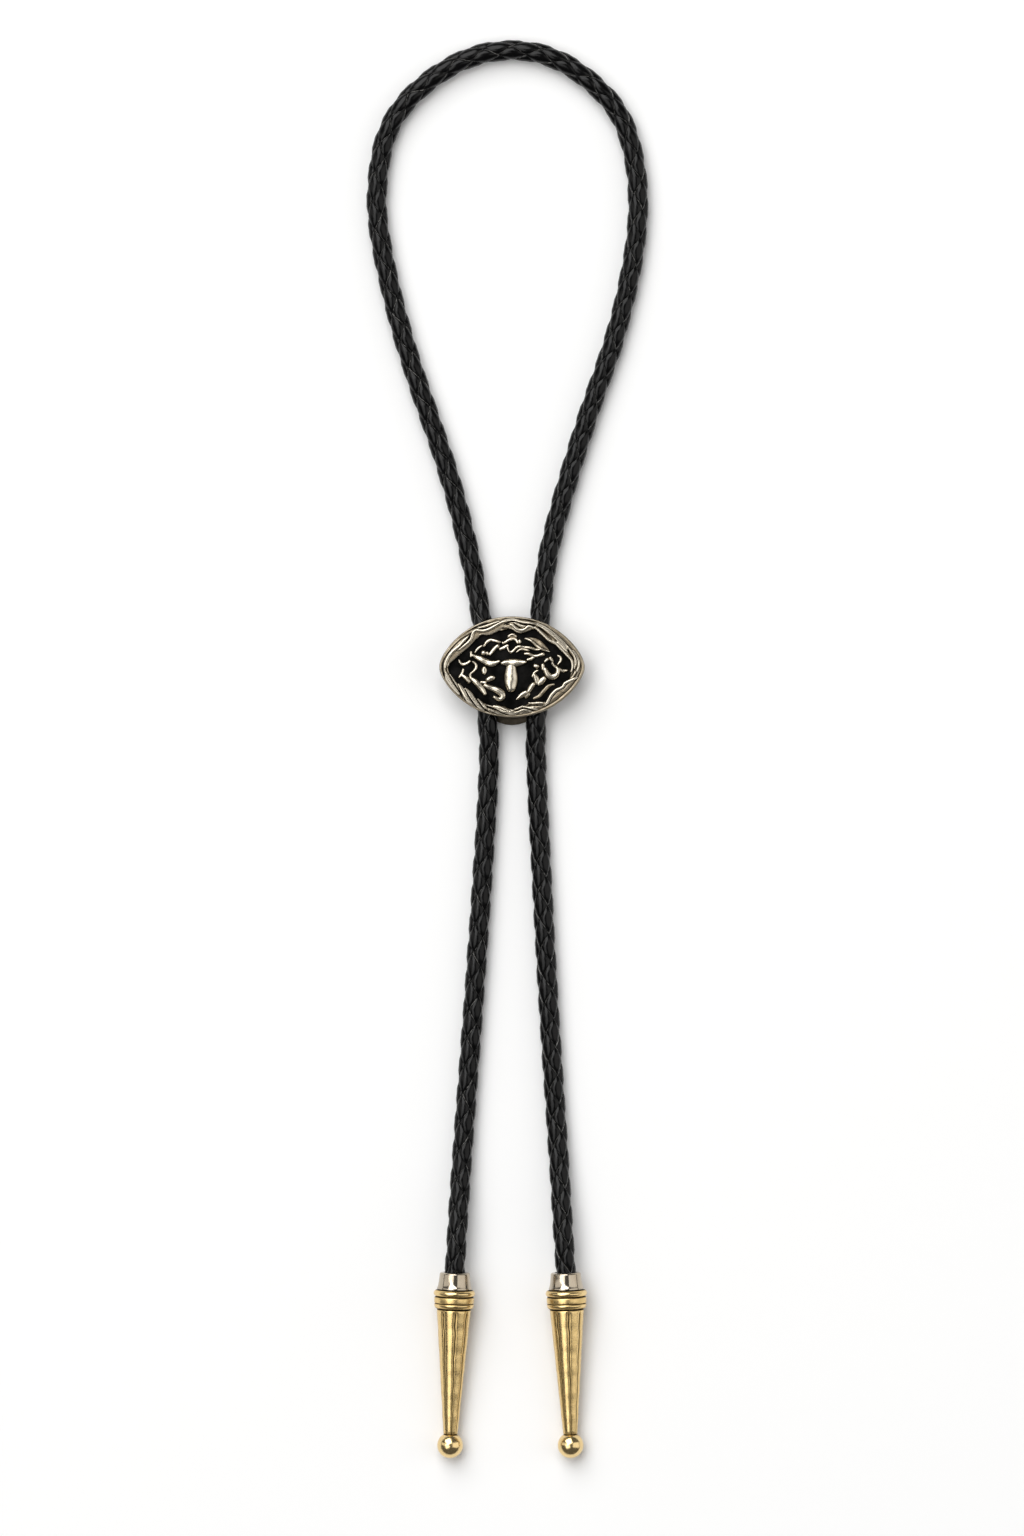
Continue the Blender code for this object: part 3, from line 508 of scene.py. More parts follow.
# Ridges on the rim, as (rise, shine, [(x, y, half width)])
RIM_RIDGES = [
    (0.15, 0.5, [(-19.6, 1.8, 0.4), (-18.0, 3.4, 0.6), (-16.2, 5.1, 0.6), (-13.8, 7.1, 0.65),
                 (-12.0, 9.1, 0.65), (-10.7, 10.2, 0.65)]),
    (0.15, 0.5, [(-9.95, 11.2, 0.45), (-7.6, 11.0, 0.6), (-5.6, 11.6, 0.6), (-3.7, 12.7, 0.6),
                 (-2.2, 13.65, 0.4)]),
    (0.15, 0.5, [(-2.2, 12.7, 0.2), (-0.8, 12.8, 0.45), (0.6, 12.4, 0.5), (2.2, 11.5, 0.5),
                 (3.8, 11.9, 0.6), (5.4, 12.3, 0.5)]),
    (0.15, 0.48, [(18.9, -4.0, 0.5), (17.2, -5.6, 1.1), (14.9, -7.7, 1.3), (12.8, -9.6, 1.2),
                  (11.0, -11.4, 0.8)]),
    (0.3, 0.5, [(6.6, -12.3, 0.4), (8.0, -12.3, 0.8), (9.4, -11.9, 0.8), (10.3, -11.6, 0.4)]),
    (1.0, 1.0, [(-20.1, -1.2, 0.3), (-19.6, -2.8, 0.7), (-18.8, -4.3, 0.75), (-17.6, -5.9, 0.7),
                (-16.2, -7.5, 0.35)]),
    (0.7, 0.9, [(-18.9, -1.8, 0.2), (-17.8, -3.5, 0.3), (-16.8, -5.1, 0.35), (-15.9, -6.7, 0.35),
                (-15.1, -8.3, 0.3), (-14.6, -9.2, 0.2)]),
    (0.75, 0.95, [(-16.3, -4.7, 0.25), (-15.4, -5.9, 0.55), (-14.5, -7.5, 0.65), (-13.5, -9.3, 0.65),
                  (-12.3, -10.9, 0.6), (-10.7, -12.3, 0.3)]),
    (0.8, 1.0, [(-14.2, -6.1, 0.3), (-13.2, -7.2, 0.6), (-12.3, -8.7, 0.75), (-11.2, -10.3, 0.75),
                (-9.95, -11.7, 0.7), (-8.7, -12.6, 0.35)]),
    (0.7, 0.95, [(-10.4, -9.3, 0.2), (-9.5, -10.3, 0.42), (-8.7, -11.2, 0.45), (-7.8, -12.0, 0.25)]),
    (0.5, 0.8, [(-7.0, -12.6, 0.2), (-5.6, -13.7, 0.3), (-3.7, -14.3, 0.32), (-1.4, -14.6, 0.2)]),
    (0.6, 0.9, [(-6.2, -12.6, 0.2), (-4.5, -13.4, 0.35), (-2.95, -14.0, 0.35), (-0.8, -14.4, 0.2)]),
    (0.75, 1.0, [(-5.6, -11.4, 0.3), (-4.0, -12.1, 0.75), (-2.2, -12.9, 0.8), (-0.3, -13.5, 0.6),
                 (1.2, -13.7, 0.25)]),
    (0.8, 1.0, [(19.8, -2.65, 0.3), (18.2, -3.4, 0.4), (16.8, -4.05, 0.42), (15.9, -4.7, 0.42),
                (15.3, -5.6, 0.4), (13.7, -6.4, 0.42), (12.6, -7.3, 0.42), (11.8, -8.25, 0.42),
                (11.2, -9.3, 0.42), (10.7, -10.3, 0.4), (10.0, -11.05, 0.25)]),
    (0.6, 1.0, [(5.15, -10.4, 0.2), (6.4, -10.5, 0.3), (8.1, -10.4, 0.3), (9.5, -10.3, 0.2)]),
    (0.6, 0.95, [(3.0, -11.4, 0.2), (4.05, -11.7, 0.35), (5.6, -12.0, 0.38), (6.7, -12.1, 0.38),
                 (7.8, -12.6, 0.3)]),
    (0.5, 0.95, [(0.8, -12.3, 0.15), (2.0, -12.0, 0.27), (3.0, -11.5, 0.2)]),
    (0.6, 0.95, [(0.2, -13.7, 0.2), (1.4, -13.4, 0.35), (2.5, -12.9, 0.38), (3.6, -12.45, 0.35),
                 (4.7, -12.6, 0.35), (5.9, -13.1, 0.35), (7.0, -13.2, 0.2)]),
    (0.5, 0.8, [(-0.6, -14.0, 0.2), (1.7, -14.1, 0.32), (4.1, -13.4, 0.32), (6.7, -13.5, 0.2)]),
    (0.8, 1.0, [(-20.4, 0.3, 0.25), (-20.2, 1.8, 0.45), (-19.3, 3.7, 0.48), (-17.7, 5.6, 0.48),
                (-16.2, 6.8, 0.46), (-14.5, 8.7, 0.42), (-13.2, 9.9, 0.2)]),
    (0.75, 1.0, [(-16.6, 5.6, 0.2), (-15.1, 6.65, 0.36), (-13.5, 7.9, 0.4), (-12.4, 9.3, 0.42),
                 (-12.0, 10.7, 0.42), (-11.35, 11.6, 0.42), (-10.4, 11.9, 0.3)]),
    (0.8, 1.0, [(-10.4, 11.8, 0.35), (-8.7, 11.6, 0.42), (-7.0, 12.1, 0.42), (-4.8, 13.3, 0.42),
                (-2.95, 14.3, 0.4), (-1.1, 14.9, 0.38), (1.1, 14.9, 0.38), (3.1, 14.2, 0.38),
                (5.6, 13.95, 0.38), (7.5, 13.8, 0.25)]),
    (0.55, 0.85, [(-10.3, 12.6, 0.2), (-8.2, 13.0, 0.3), (-6.4, 13.65, 0.3), (-4.8, 14.3, 0.3),
                  (-3.6, 14.5, 0.2)]),
    (0.6, 0.95, [(0.5, 14.2, 0.2), (1.7, 13.65, 0.35), (3.1, 13.0, 0.38), (4.05, 13.0, 0.2)]),
    (0.65, 0.95, [(-0.6, 13.5, 0.2), (0.3, 13.2, 0.4), (1.4, 12.25, 0.42), (2.5, 11.8, 0.4),
                  (3.6, 11.9, 0.4), (4.7, 12.7, 0.42), (5.5, 12.95, 0.42), (6.7, 12.4, 0.25)]),
    (0.75, 1.0, [(7.0, 12.7, 0.25), (8.1, 11.8, 0.4), (9.3, 10.7, 0.42), (10.6, 9.45, 0.42),
                 (11.8, 8.5, 0.42), (13.4, 7.7, 0.42), (14.3, 6.8, 0.42), (15.7, 5.4, 0.4),
                 (17.0, 4.0, 0.4), (18.0, 2.8, 0.36), (18.4, 1.7, 0.36), (18.4, 0.3, 0.34),
                 (18.0, -0.8, 0.25)]),
    (0.6, 0.85, [(6.4, 13.8, 0.4), (8.1, 13.5, 0.6), (10.3, 12.25, 0.75), (12.1, 10.7, 0.85),
                 (13.7, 9.1, 1.0), (15.4, 7.4, 1.1), (16.2, 6.2, 0.7), (16.8, 5.4, 0.3)]),
    (0.5, 0.9, [(17.0, 6.8, 0.2), (18.1, 5.35, 0.3), (19.1, 3.8, 0.3), (19.3, 1.9, 0.3),
                (18.9, 0.1, 0.2)]),
    (0.55, 0.9, [(18.6, 5.6, 0.2), (19.7, 4.3, 0.32), (20.4, 2.8, 0.34), (20.4, 1.2, 0.34),
                 (19.8, -0.6, 0.25)]),
]
# Grooves in the rim, as (depth, darkness, [(x, y, half width)])
RIM_GROOVES = [
    (0.45, 1.0, [(-19.5, -1.3, 0.12), (-18.2, -3.5, 0.2), (-17.0, -5.4, 0.22), (-15.8, -7.3, 0.22),
                 (-15.0, -9.0, 0.12)]),
    (0.3, 0.9, [(-16.6, -4.8, 0.12), (-15.9, -6.4, 0.15), (-14.9, -8.4, 0.16), (-13.8, -10.1, 0.15),
                (-12.3, -11.5, 0.12)]),
    (0.45, 1.0, [(-14.3, -6.2, 0.15), (-13.2, -8.4, 0.22), (-12.0, -10.1, 0.24), (-10.9, -11.5, 0.2),
                 (-9.9, -12.4, 0.12)]),
    (0.45, 1.0, [(-10.9, -9.0, 0.15), (-9.95, -10.4, 0.22), (-8.7, -12.0, 0.22), (-7.6, -12.9, 0.15)]),
    (0.45, 1.0, [(-7.4, -11.4, 0.2), (-6.2, -12.0, 0.25), (-5.0, -12.3, 0.22), (-3.7, -13.1, 0.22),
                 (-2.2, -13.75, 0.2), (-0.5, -14.2, 0.12)]),
    (0.2, 0.8, [(-3.9, -12.0, 0.1), (-2.5, -12.6, 0.13), (-0.9, -13.1, 0.1)]),
    (0.25, 0.8, [(-6.8, -12.8, 0.1), (-5.2, -13.7, 0.13), (-3.4, -14.2, 0.13), (-1.6, -14.55, 0.1)]),
    (0.45, 1.0, [(5.3, -11.0, 0.15), (7.3, -11.1, 0.24), (9.3, -11.1, 0.15)]),
    (0.45, 1.0, [(0.6, -12.8, 0.15), (1.9, -12.6, 0.22), (3.0, -12.1, 0.22), (4.05, -12.1, 0.22),
                 (5.6, -12.45, 0.22), (7.2, -13.1, 0.22), (8.3, -13.4, 0.15)]),
    (0.25, 0.7, [(18.9, -3.5, 0.1), (16.6, -4.8, 0.14), (15.9, -5.7, 0.14), (14.3, -6.7, 0.14),
                 (12.9, -7.9, 0.14), (11.9, -9.3, 0.14), (11.3, -10.5, 0.1)]),
    (0.2, 0.5, [(19.15, -3.7, 0.1), (18.1, -5.3, 0.15), (15.9, -7.5, 0.15), (13.9, -9.2, 0.15),
                (11.8, -10.9, 0.1)]),
    (0.12, 0.5, [(14.5, -7.0, 0.1), (15.2, -7.15, 0.12), (15.9, -7.2, 0.1)]),
    (0.45, 1.0, [(-17.4, 5.2, 0.12), (-16.2, 6.2, 0.18), (-15.0, 7.4, 0.24), (-13.7, 8.8, 0.26),
                 (-12.9, 10.0, 0.22), (-12.4, 11.0, 0.15)]),
    (0.3, 0.9, [(-10.2, 12.25, 0.12), (-8.3, 12.4, 0.18), (-6.5, 13.05, 0.18), (-4.8, 13.85, 0.16),
                (-3.3, 14.5, 0.12)]),
    (0.45, 1.0, [(-2.4, 13.5, 0.15), (-1.0, 14.1, 0.25), (0.3, 14.4, 0.25), (1.8, 14.15, 0.2),
                 (3.5, 13.6, 0.24), (5.6, 13.45, 0.24), (7.3, 13.2, 0.15)]),
    (0.3, 0.9, [(1.0, 13.3, 0.12), (2.2, 12.7, 0.18), (3.4, 12.45, 0.16), (4.2, 12.9, 0.1)]),
    (0.35, 0.6, [(8.1, 12.7, 0.2), (9.5, 11.7, 0.35), (11.2, 10.3, 0.4), (12.6, 9.2, 0.35),
                 (13.7, 8.4, 0.2)]),
    (0.25, 0.8, [(8.3, 13.9, 0.1), (10.3, 13.0, 0.14), (12.6, 11.4, 0.16), (14.95, 9.4, 0.16),
                 (16.5, 7.8, 0.15), (17.75, 6.3, 0.1)]),
    (0.35, 1.0, [(16.7, 6.0, 0.12), (17.5, 4.8, 0.2), (18.5, 3.4, 0.2), (18.85, 2.0, 0.18),
                 (18.85, 0.8, 0.16), (18.4, -0.8, 0.1)]),
    (0.25, 0.8, [(18.5, 5.4, 0.1), (19.5, 3.6, 0.15), (19.9, 2.2, 0.15), (19.8, 0.8, 0.15),
                 (19.3, -0.8, 0.1)]),
]
# The floor's sprigs, leaves, berries and mushroom, as (rise, [(x, y, half width)])
RELIEF = [
    (1.6, [(-3.0, 1.75, 0.5), (-1.8, 1.85, 0.85), (0.5, 1.85, 1.05), (2.6, 1.9, 0.8),
           (4.0, 2.05, 0.45)]),
    (1.5, [(-0.3, 0.6, 1.25), (-0.3, -1.0, 1.5), (-0.3, -2.8, 1.7), (-0.3, -4.6, 1.5),
           (-0.3, -5.8, 1.15)]),
    (1.1, [(-12.5, 5.1, 0.35), (-12.5, 4.5, 0.38), (-12.5, 3.85, 0.35)]),
    (1.2, [(-12.0, 4.2, 0.35), (-10.3, 3.4, 0.65), (-8.4, 2.45, 0.8), (-6.7, 1.7, 0.85),
           (-5.3, 1.7, 0.7), (-4.0, 2.3, 0.4)]),
    (0.9, [(-11.2, 5.1, 0.3), (-10.4, 6.2, 0.36), (-9.3, 7.0, 0.3)]),
    (1.1, [(-8.55, 7.0, 0.35), (-7.8, 8.05, 0.45), (-6.7, 8.8, 0.45), (-5.6, 8.7, 0.45),
           (-3.7, 8.2, 0.35)]),
    (1.2, [(-8.8, 4.9, 0.6), (-8.6, 4.9, 0.66)]),
    (0.9, [(-7.5, 4.9, 0.42), (-7.4, 4.6, 0.45)]),
    (0.8, [(-4.0, 8.2, 0.3), (-3.9, 8.0, 0.3)]),
    (0.8, [(-2.8, 8.05, 0.3), (-2.7, 7.8, 0.3)]),
    (1.1, [(-6.7, 4.5, 0.45), (-5.6, 5.9, 0.58), (-4.35, 7.0, 0.5)]),
    (1.0, [(-3.6, 6.0, 0.4), (-2.5, 6.5, 0.52), (-1.4, 7.1, 0.45)]),
    (1.1, [(-2.3, 8.05, 0.35), (-1.2, 8.7, 0.45), (-0.15, 9.1, 0.46), (1.1, 9.0, 0.45),
           (1.7, 8.05, 0.4)]),
    (0.8, [(2.3, 8.5, 0.5), (2.4, 8.2, 0.45)]),
    (0.9, [(-1.1, 9.9, 0.33), (-0.3, 10.4, 0.35), (0.6, 10.4, 0.35), (1.3, 9.9, 0.28)]),
    (0.7, [(-0.9, 9.8, 0.22), (0.0, 9.7, 0.28), (0.8, 9.8, 0.22)]),
    (0.9, [(-1.3, 6.5, 0.3), (-1.0, 5.6, 0.35), (-0.3, 5.1, 0.4), (0.3, 5.5, 0.36), (0.95, 6.2, 0.36),
           (2.0, 6.8, 0.38), (3.4, 6.65, 0.38), (5.3, 6.5, 0.36), (6.9, 6.0, 0.34), (8.4, 5.9, 0.25)]),
    (0.7, [(1.4, 5.1, 0.2), (2.5, 5.85, 0.32), (3.75, 5.9, 0.32), (5.15, 5.6, 0.2)]),
    (0.5, [(4.7, 9.3, 0.3), (6.1, 9.0, 0.5), (7.5, 8.2, 0.85), (9.0, 7.1, 0.8), (10.3, 6.2, 0.5),
           (11.3, 5.5, 0.2)]),
    (1.05, [(4.05, 9.3, 0.25), (5.6, 8.7, 0.35), (6.9, 7.7, 0.38), (8.1, 6.65, 0.38), (9.5, 5.9, 0.34),
            (11.4, 5.25, 0.22)]),
    (1.1, [(3.9, 4.6, 0.35), (5.3, 4.5, 0.4), (6.4, 4.0, 0.42), (7.8, 4.0, 0.42), (8.9, 4.3, 0.5),
           (9.5, 4.5, 0.5)]),
    (1.0, [(4.8, 2.8, 0.4), (6.1, 3.2, 0.46), (6.9, 3.85, 0.4)]),
    (1.0, [(-16.1, 2.6, 0.3), (-15.3, 1.5, 0.46), (-14.0, 1.6, 0.46), (-12.9, 2.3, 0.38)]),
    (0.95, [(-11.9, 2.2, 0.3), (-11.0, 1.3, 0.42), (-11.1, 0.1, 0.42), (-11.9, -0.9, 0.36),
            (-12.7, -1.7, 0.35), (-12.6, -2.5, 0.35)]),
    (0.95, [(-14.9, -0.2, 0.35), (-15.2, -1.25, 0.4), (-16.0, -2.5, 0.35)]),
    (1.1, [(-15.1, -2.0, 0.45), (-14.0, -2.8, 0.58), (-13.1, -3.9, 0.5)]),
    (1.15, [(-12.6, -2.65, 0.4), (-11.35, -3.7, 0.7), (-9.95, -5.1, 0.8), (-8.9, -6.5, 0.75),
            (-8.2, -7.6, 0.5)]),
    (1.2, [(-8.45, 0.25, 0.5), (-8.45, -0.5, 0.75), (-8.4, -1.2, 0.5)]),
    (1.1, [(-7.4, -3.3, 0.6), (-6.5, -2.9, 0.72), (-5.8, -2.7, 0.65)]),
    (1.0, [(-9.3, -4.05, 0.42), (-8.2, -4.2, 0.45)]),
    (1.3, [(-8.2, -5.0, 0.5), (-6.4, -5.8, 0.75), (-4.5, -6.5, 0.85), (-3.1, -7.5, 0.9),
           (-2.95, -8.6, 0.75), (-3.6, -9.3, 0.6), (-5.4, -8.6, 0.45)]),
    (1.1, [(1.25, -9.3, 0.15), (2.5, -8.4, 0.6), (3.4, -7.8, 0.7), (4.2, -7.2, 0.6)]),
    (0.8, [(4.3, -8.2, 0.65), (4.8, -7.7, 0.65)]),
    (1.2, [(5.15, -6.7, 0.6), (5.8, -5.6, 0.7), (6.5, -4.7, 0.6)]),
    (1.2, [(6.9, -2.0, 0.5), (7.4, -3.0, 0.8), (7.7, -4.2, 0.55)]),
    (1.2, [(8.2, -4.6, 0.5), (8.8, -3.9, 0.8), (9.7, -3.0, 0.7)]),
    (0.9, [(7.8, -0.5, 0.28), (6.7, -1.25, 0.33), (6.2, -2.3, 0.3)]),
    (1.1, [(7.0, 0.9, 0.55), (7.6, 0.75, 0.6)]),
    (1.2, [(9.4, 1.2, 0.5), (9.5, 0.0, 0.56)]),
    (1.3, [(10.1, -0.2, 0.6), (10.6, -1.25, 0.75), (11.7, -2.3, 0.78), (12.9, -2.3, 0.78),
           (13.9, -1.25, 0.65), (13.9, 0.0, 0.5)]),
    (1.1, [(10.1, 2.3, 0.42), (10.75, 2.9, 0.46)]),
    (1.1, [(11.7, 3.4, 0.42), (12.0, 2.9, 0.5), (12.3, 2.45, 0.42)]),
    (0.95, [(14.0, 4.0, 0.3), (14.8, 3.5, 0.4), (14.8, 2.6, 0.4), (14.0, 1.4, 0.3)]),
    (1.0, [(12.3, 1.7, 0.35), (13.1, 0.7, 0.4), (14.2, 0.1, 0.4), (15.1, -0.35, 0.35)]),
    (1.0, [(14.3, -0.2, 0.3), (15.4, -0.6, 0.46), (16.7, -0.5, 0.3)]),
    (0.45, [(6.7, -9.0, 0.3), (8.1, -8.4, 0.45), (9.0, -7.5, 0.48), (10.0, -6.4, 0.45),
            (11.1, -5.3, 0.4), (12.8, -4.7, 0.2)]),
]


def smoothstep(value):
    value = np.clip(value, 0, 1)
    return value * value * (3 - 2 * value)


def profile_across(x, y, rows, power):
    """How high on a stroke each point is: 1 on its middle line, 0 beyond its edges."""
    line = smooth_line(rows, STROKE_STEPS)
    line[:, 2] = np.maximum(line[:, 2], THINNEST_HALF)
    best = np.zeros_like(x)
    reach = line[:, 2].max()
    near = (
        (x > line[:, 0].min() - reach) & (x < line[:, 0].max() + reach)
        & (y > line[:, 1].min() - reach) & (y < line[:, 1].max() + reach)
    )
    px, py = x[near], y[near]
    found = np.zeros_like(px)
    for a, b in zip(line, line[1:]):
        d = b[:2] - a[:2]
        u = np.clip(((px - a[0]) * d[0] + (py - a[1]) * d[1]) / max(d @ d, 1e-9), 0, 1)
        away = np.hypot(px - a[0] - u * d[0], py - a[1] - u * d[1])
        found = np.maximum(found, 1 - (away / (a[2] + u * (b[2] - a[2]))) ** power)
    best[near] = found
    return best


def widened(rows, factor):
    """The rows of a stroke with their half widths times factor."""
    return [(x, y, factor * half) for x, y, half in rows]


def outline_reach(turn):
    """How far the slide's outline is from its own middle along each turn."""
    blunt_height = math.hypot(SLIDE_HEIGHT / 2, OUTLINE_BLUNTNESS) - OUTLINE_BLUNTNESS
    low = np.zeros_like(turn)
    high = np.full_like(turn, FARTHEST)
    for _ in range(HALVINGS):
        middle = (low + high) / 2
        along = middle * np.abs(np.cos(turn)) / (SLIDE_WIDTH / 2)
        up = (np.hypot(middle * np.sin(turn), OUTLINE_BLUNTNESS) - OUTLINE_BLUNTNESS) / blunt_height
        inside = (along**OUTLINE_SIDE_POWER + up**OUTLINE_END_POWER) < 1
        low = np.where(inside, middle, low)
        high = np.where(inside, high, middle)
    return low


def slide_surface(x, y):
    """Height over the slide's back, and polish, at points of its front."""
    turn = np.arctan2(y, x)
    from_edge = outline_reach(np.arctan2(y - SLIDE_SHIFT, x)) - np.hypot(x, y - SLIDE_SHIFT)
    table = np.array(FLOOR_EDGE, float)
    edge = np.interp(np.degrees(turn) % 360, table[:, 0], table[:, 1], period=360)
    dome = np.clip(1 - (x / DOME_HALF_WIDTH) ** 2 - (y / DOME_HALF_HEIGHT) ** 2, 0, None)
    floor = FLOOR_LOW + FLOOR_DOME * dome
    floor = floor + FLOOR_WAVE * np.sin(1.3 * x + 0.7 * y) * np.sin(1.1 * y - 0.5 * x + 1)
    onto_rim = smoothstep((np.hypot(x, y) - edge + RIM_STEP / 2) / RIM_STEP)
    lip_half = LIP_HALF + LIP_WIDENING * smoothstep(np.cos(turn + math.radians(25)))
    inward = from_edge - 2 * lip_half
    crown = RIM_LOW + RIM_RISE * smoothstep(inward / 0.9)
    lip = LIP_RISE * np.sqrt(np.clip(1 - (from_edge / lip_half - 1) ** 2, 0, 1))
    crown = np.where(inward < 0, LIP_BASE + lip, crown)
    inside_lip = smoothstep(inward / 0.25 + 0.6)
    folds = np.sin(math.tau * (from_edge / FOLD_WIDTH + 3 * turn / math.pi) + 0.9 * np.sin(5 * turn + 1))
    height = floor + (crown + FOLD_HEIGHT * folds * inside_lip - floor) * onto_rim
    polish = np.where(inward < 0, LIP_POLISH, RIM_POLISH + FOLD_POLISH * folds) * onto_rim
    for rise, shine, rows in RIM_RIDGES:
        b = profile_across(x, y, widened(rows, RIDGE_WIDENING), RIDGE_POWER) * inside_lip
        top = crown + RIDGE_HEIGHT * rise * b**0.8
        height = np.where(b > 0, np.maximum(height, floor + (top - floor) * smoothstep(b * 3)), height)
        rubbed = np.maximum(polish * (1 - 0.5 * b), shine * smoothstep(0.55 + b))
        polish = np.where(b > 0, rubbed, polish)
    for depth, darkness, rows in RIM_GROOVES:
        b = profile_across(x, y, widened(rows, GROOVE_WIDENING), GROOVE_POWER) * inside_lip
        height = height - GROOVE_DEPTH * depth * b
        polish = polish * (1 - 0.95 * darkness * smoothstep(b * 1.5))
    for rise, rows in RELIEF:
        b = profile_across(x, y, widened(rows, RELIEF_WIDENING), RELIEF_POWER)
        height = np.maximum(height, floor + RELIEF_HEIGHT * rise * b**0.6)
        polish = np.maximum(polish, min(0.88, RELIEF_POLISH + 0.6 * rise) * smoothstep(b * 1.15))
    drop = EDGE_ROUND * (1 - np.sqrt(np.clip(1 - (1 - from_edge / EDGE_ROUND) ** 2, 0, 1)))
    return height - np.where(from_edge < EDGE_ROUND, drop, 0), polish


def oval_grid(columns, rows):
    """Points of an even grid that fills the slide's outline, and the numbers of those round its edge."""
    u, v = np.meshgrid(np.linspace(-1, 1, columns + 1), np.linspace(-1, 1, rows + 1))
    x = u * np.sqrt(1 - v**2 / 2) * SLIDE_WIDTH / 2
    y = v * np.sqrt(1 - u**2 / 2) * SLIDE_HEIGHT / 2
    turn = np.arctan2(y, x)
    ellipse = 1 / np.hypot(np.cos(turn) * 2 / SLIDE_WIDTH, np.sin(turn) * 2 / SLIDE_HEIGHT)
    stretch = outline_reach(turn) / ellipse
    number = np.arange(u.size).reshape(u.shape)
    border = np.concatenate([number[0, :-1], number[:-1, -1], number[-1, :0:-1], number[:0:-1, 0]])
    return (x * stretch).ravel(), (y * stretch).ravel() + SLIDE_SHIFT, border


def worn_by_form(height, polish, shape):
    """polish with the hollows left dark and the crests rubbed bright."""
    level = height.reshape(shape)
    for _ in range(SMOOTHINGS):
        around = np.pad(level, 1, mode="edge")
        level = (around[:-2, 1:-1] + around[2:, 1:-1] + around[1:-1, :-2] + around[1:-1, 2:]) / 4
    hollow = level.ravel() - height
    in_hollows = 1 - np.clip(HOLLOW_DARKENING * hollow, 0, 0.9)
    on_crests = 1 + np.clip(-CREST_BRIGHTENING * hollow, 0, 0.45)
    return np.clip(polish * in_hollows * on_crests, 0, 1)


def make_slide():
    """The front is the grid. Rings of points under its edge make the side, and one face the back."""
    columns, rows = SLIDE_GRID
    x, y, border = oval_grid(columns, rows)
    height, polish = slide_surface(x, y)
    polish = worn_by_form(height, polish, (rows + 1, columns + 1))
    points = [np.stack([x, y, SLIDE_BACK_HEIGHT + height], axis=1)]
    shine = [polish]
    faces = [grid_faces(rows + 1, columns + 1, wrap=False)]
    above, start, low = border, len(x), height[border]
    for share, level in SIDE_RINGS:
        ring = np.stack([x[border] * share, (y[border] - SLIDE_SHIFT) * share + SLIDE_SHIFT], axis=1)
        points.append(np.column_stack([ring, SLIDE_BACK_HEIGHT + level * low]))
        shine.append(np.full(len(border), SIDE_POLISH if level > 0.1 else BACK_POLISH))
        below = start + np.arange(len(border))
        faces.append(np.stack([above, below, np.roll(below, -1), np.roll(above, -1)], axis=1))
        above, start = below, start + len(border)
    faces = [*np.concatenate(faces), above[::-1]]
    slide = mesh_object("cast_slide", np.concatenate(points), faces, {"polish": np.concatenate(shine)})
    silver = antique_metal(
        "cast_silver",
        bright=(0.66, 0.60, 0.49), mid=(0.25, 0.205, 0.14),
        dark=(0.001, 0.001, 0.0008), sheen=(0.007, 0.0065, 0.006),
        smooth=0.25, grain_scale=2600,
    )
    slide.data.materials.append(silver)
    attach(slide, "root")
    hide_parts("slide")


make_slide()

# Tips

TURN_STEPS = 144
SHARP_ANGLE = 50


def turned_object(name, profile, place, towards, attribute, flutes=None):
    """A body turned about a tip's axis. profile has rows of (radius, distance from the mouth, attribute)."""
    rows = np.array(profile, float)
    turns = np.arange(TURN_STEPS) * math.tau / TURN_STEPS
    plain = np.ones((1, TURN_STEPS))
    press, wear = flutes(rows, turns) if flutes else (plain, plain)
    up = np.cross(np.cross(towards, [0, 0, 1]), towards)
    up /= np.linalg.norm(up)
    side = np.cross(towards, up)
    ring = np.cos(turns)[:, None] * side + np.sin(turns)[:, None] * up
    reach = (rows[:, :1] * press)[..., None]
    points = place + rows[:, 1][:, None, None] * towards + reach * ring[None]
    faces = list(grid_faces(len(rows), TURN_STEPS))
    values = (rows[:, 2:] * wear).ravel()
    return mesh_object(name, points.reshape(-1, 3), faces, {attribute: values}, SHARP_ANGLE)


def arc(centre_r, centre_s, radius, start, end, steps, value):
    """Rows round an arc; angles in degrees from the outward direction, towards the ball."""
    return [
        (centre_r + radius * math.cos(a), centre_s + radius * math.sin(a), value)
        for a in np.radians(np.linspace(start, end, steps))
    ]


BORE = 3.35
POINT_TOP_RADIUS = 5.2
POINT_ROWS = 40
FLUTES = 8
FLUTE_TURN = math.radians(7)
FLUTE_DEPTH = 0.07


def ferrule_rows():
    """The ferrule's section, from its mouth down its outside and back up its bore."""
    # The last column darkens the nickel: inside the bore and at the end next to the collar.
    return [
        (BORE, 0.6, 0.9), (BORE, 0.0, 0.5), *arc(4.05, 0.6, 0.6, -90, 0, 8, 0.0),
        (4.72, 1.5, 0.0), (4.82, 2.6, 0.0), (5.0, 3.7, 0.0), (5.2, 4.5, 0.0),
        (5.38, 4.95, 0.1), (5.35, 5.05, 0.5),
        (5.2, FERRULE_LENGTH, 0.9), (BORE, FERRULE_LENGTH, 1.0), (BORE, 0.6, 1.0),
    ]


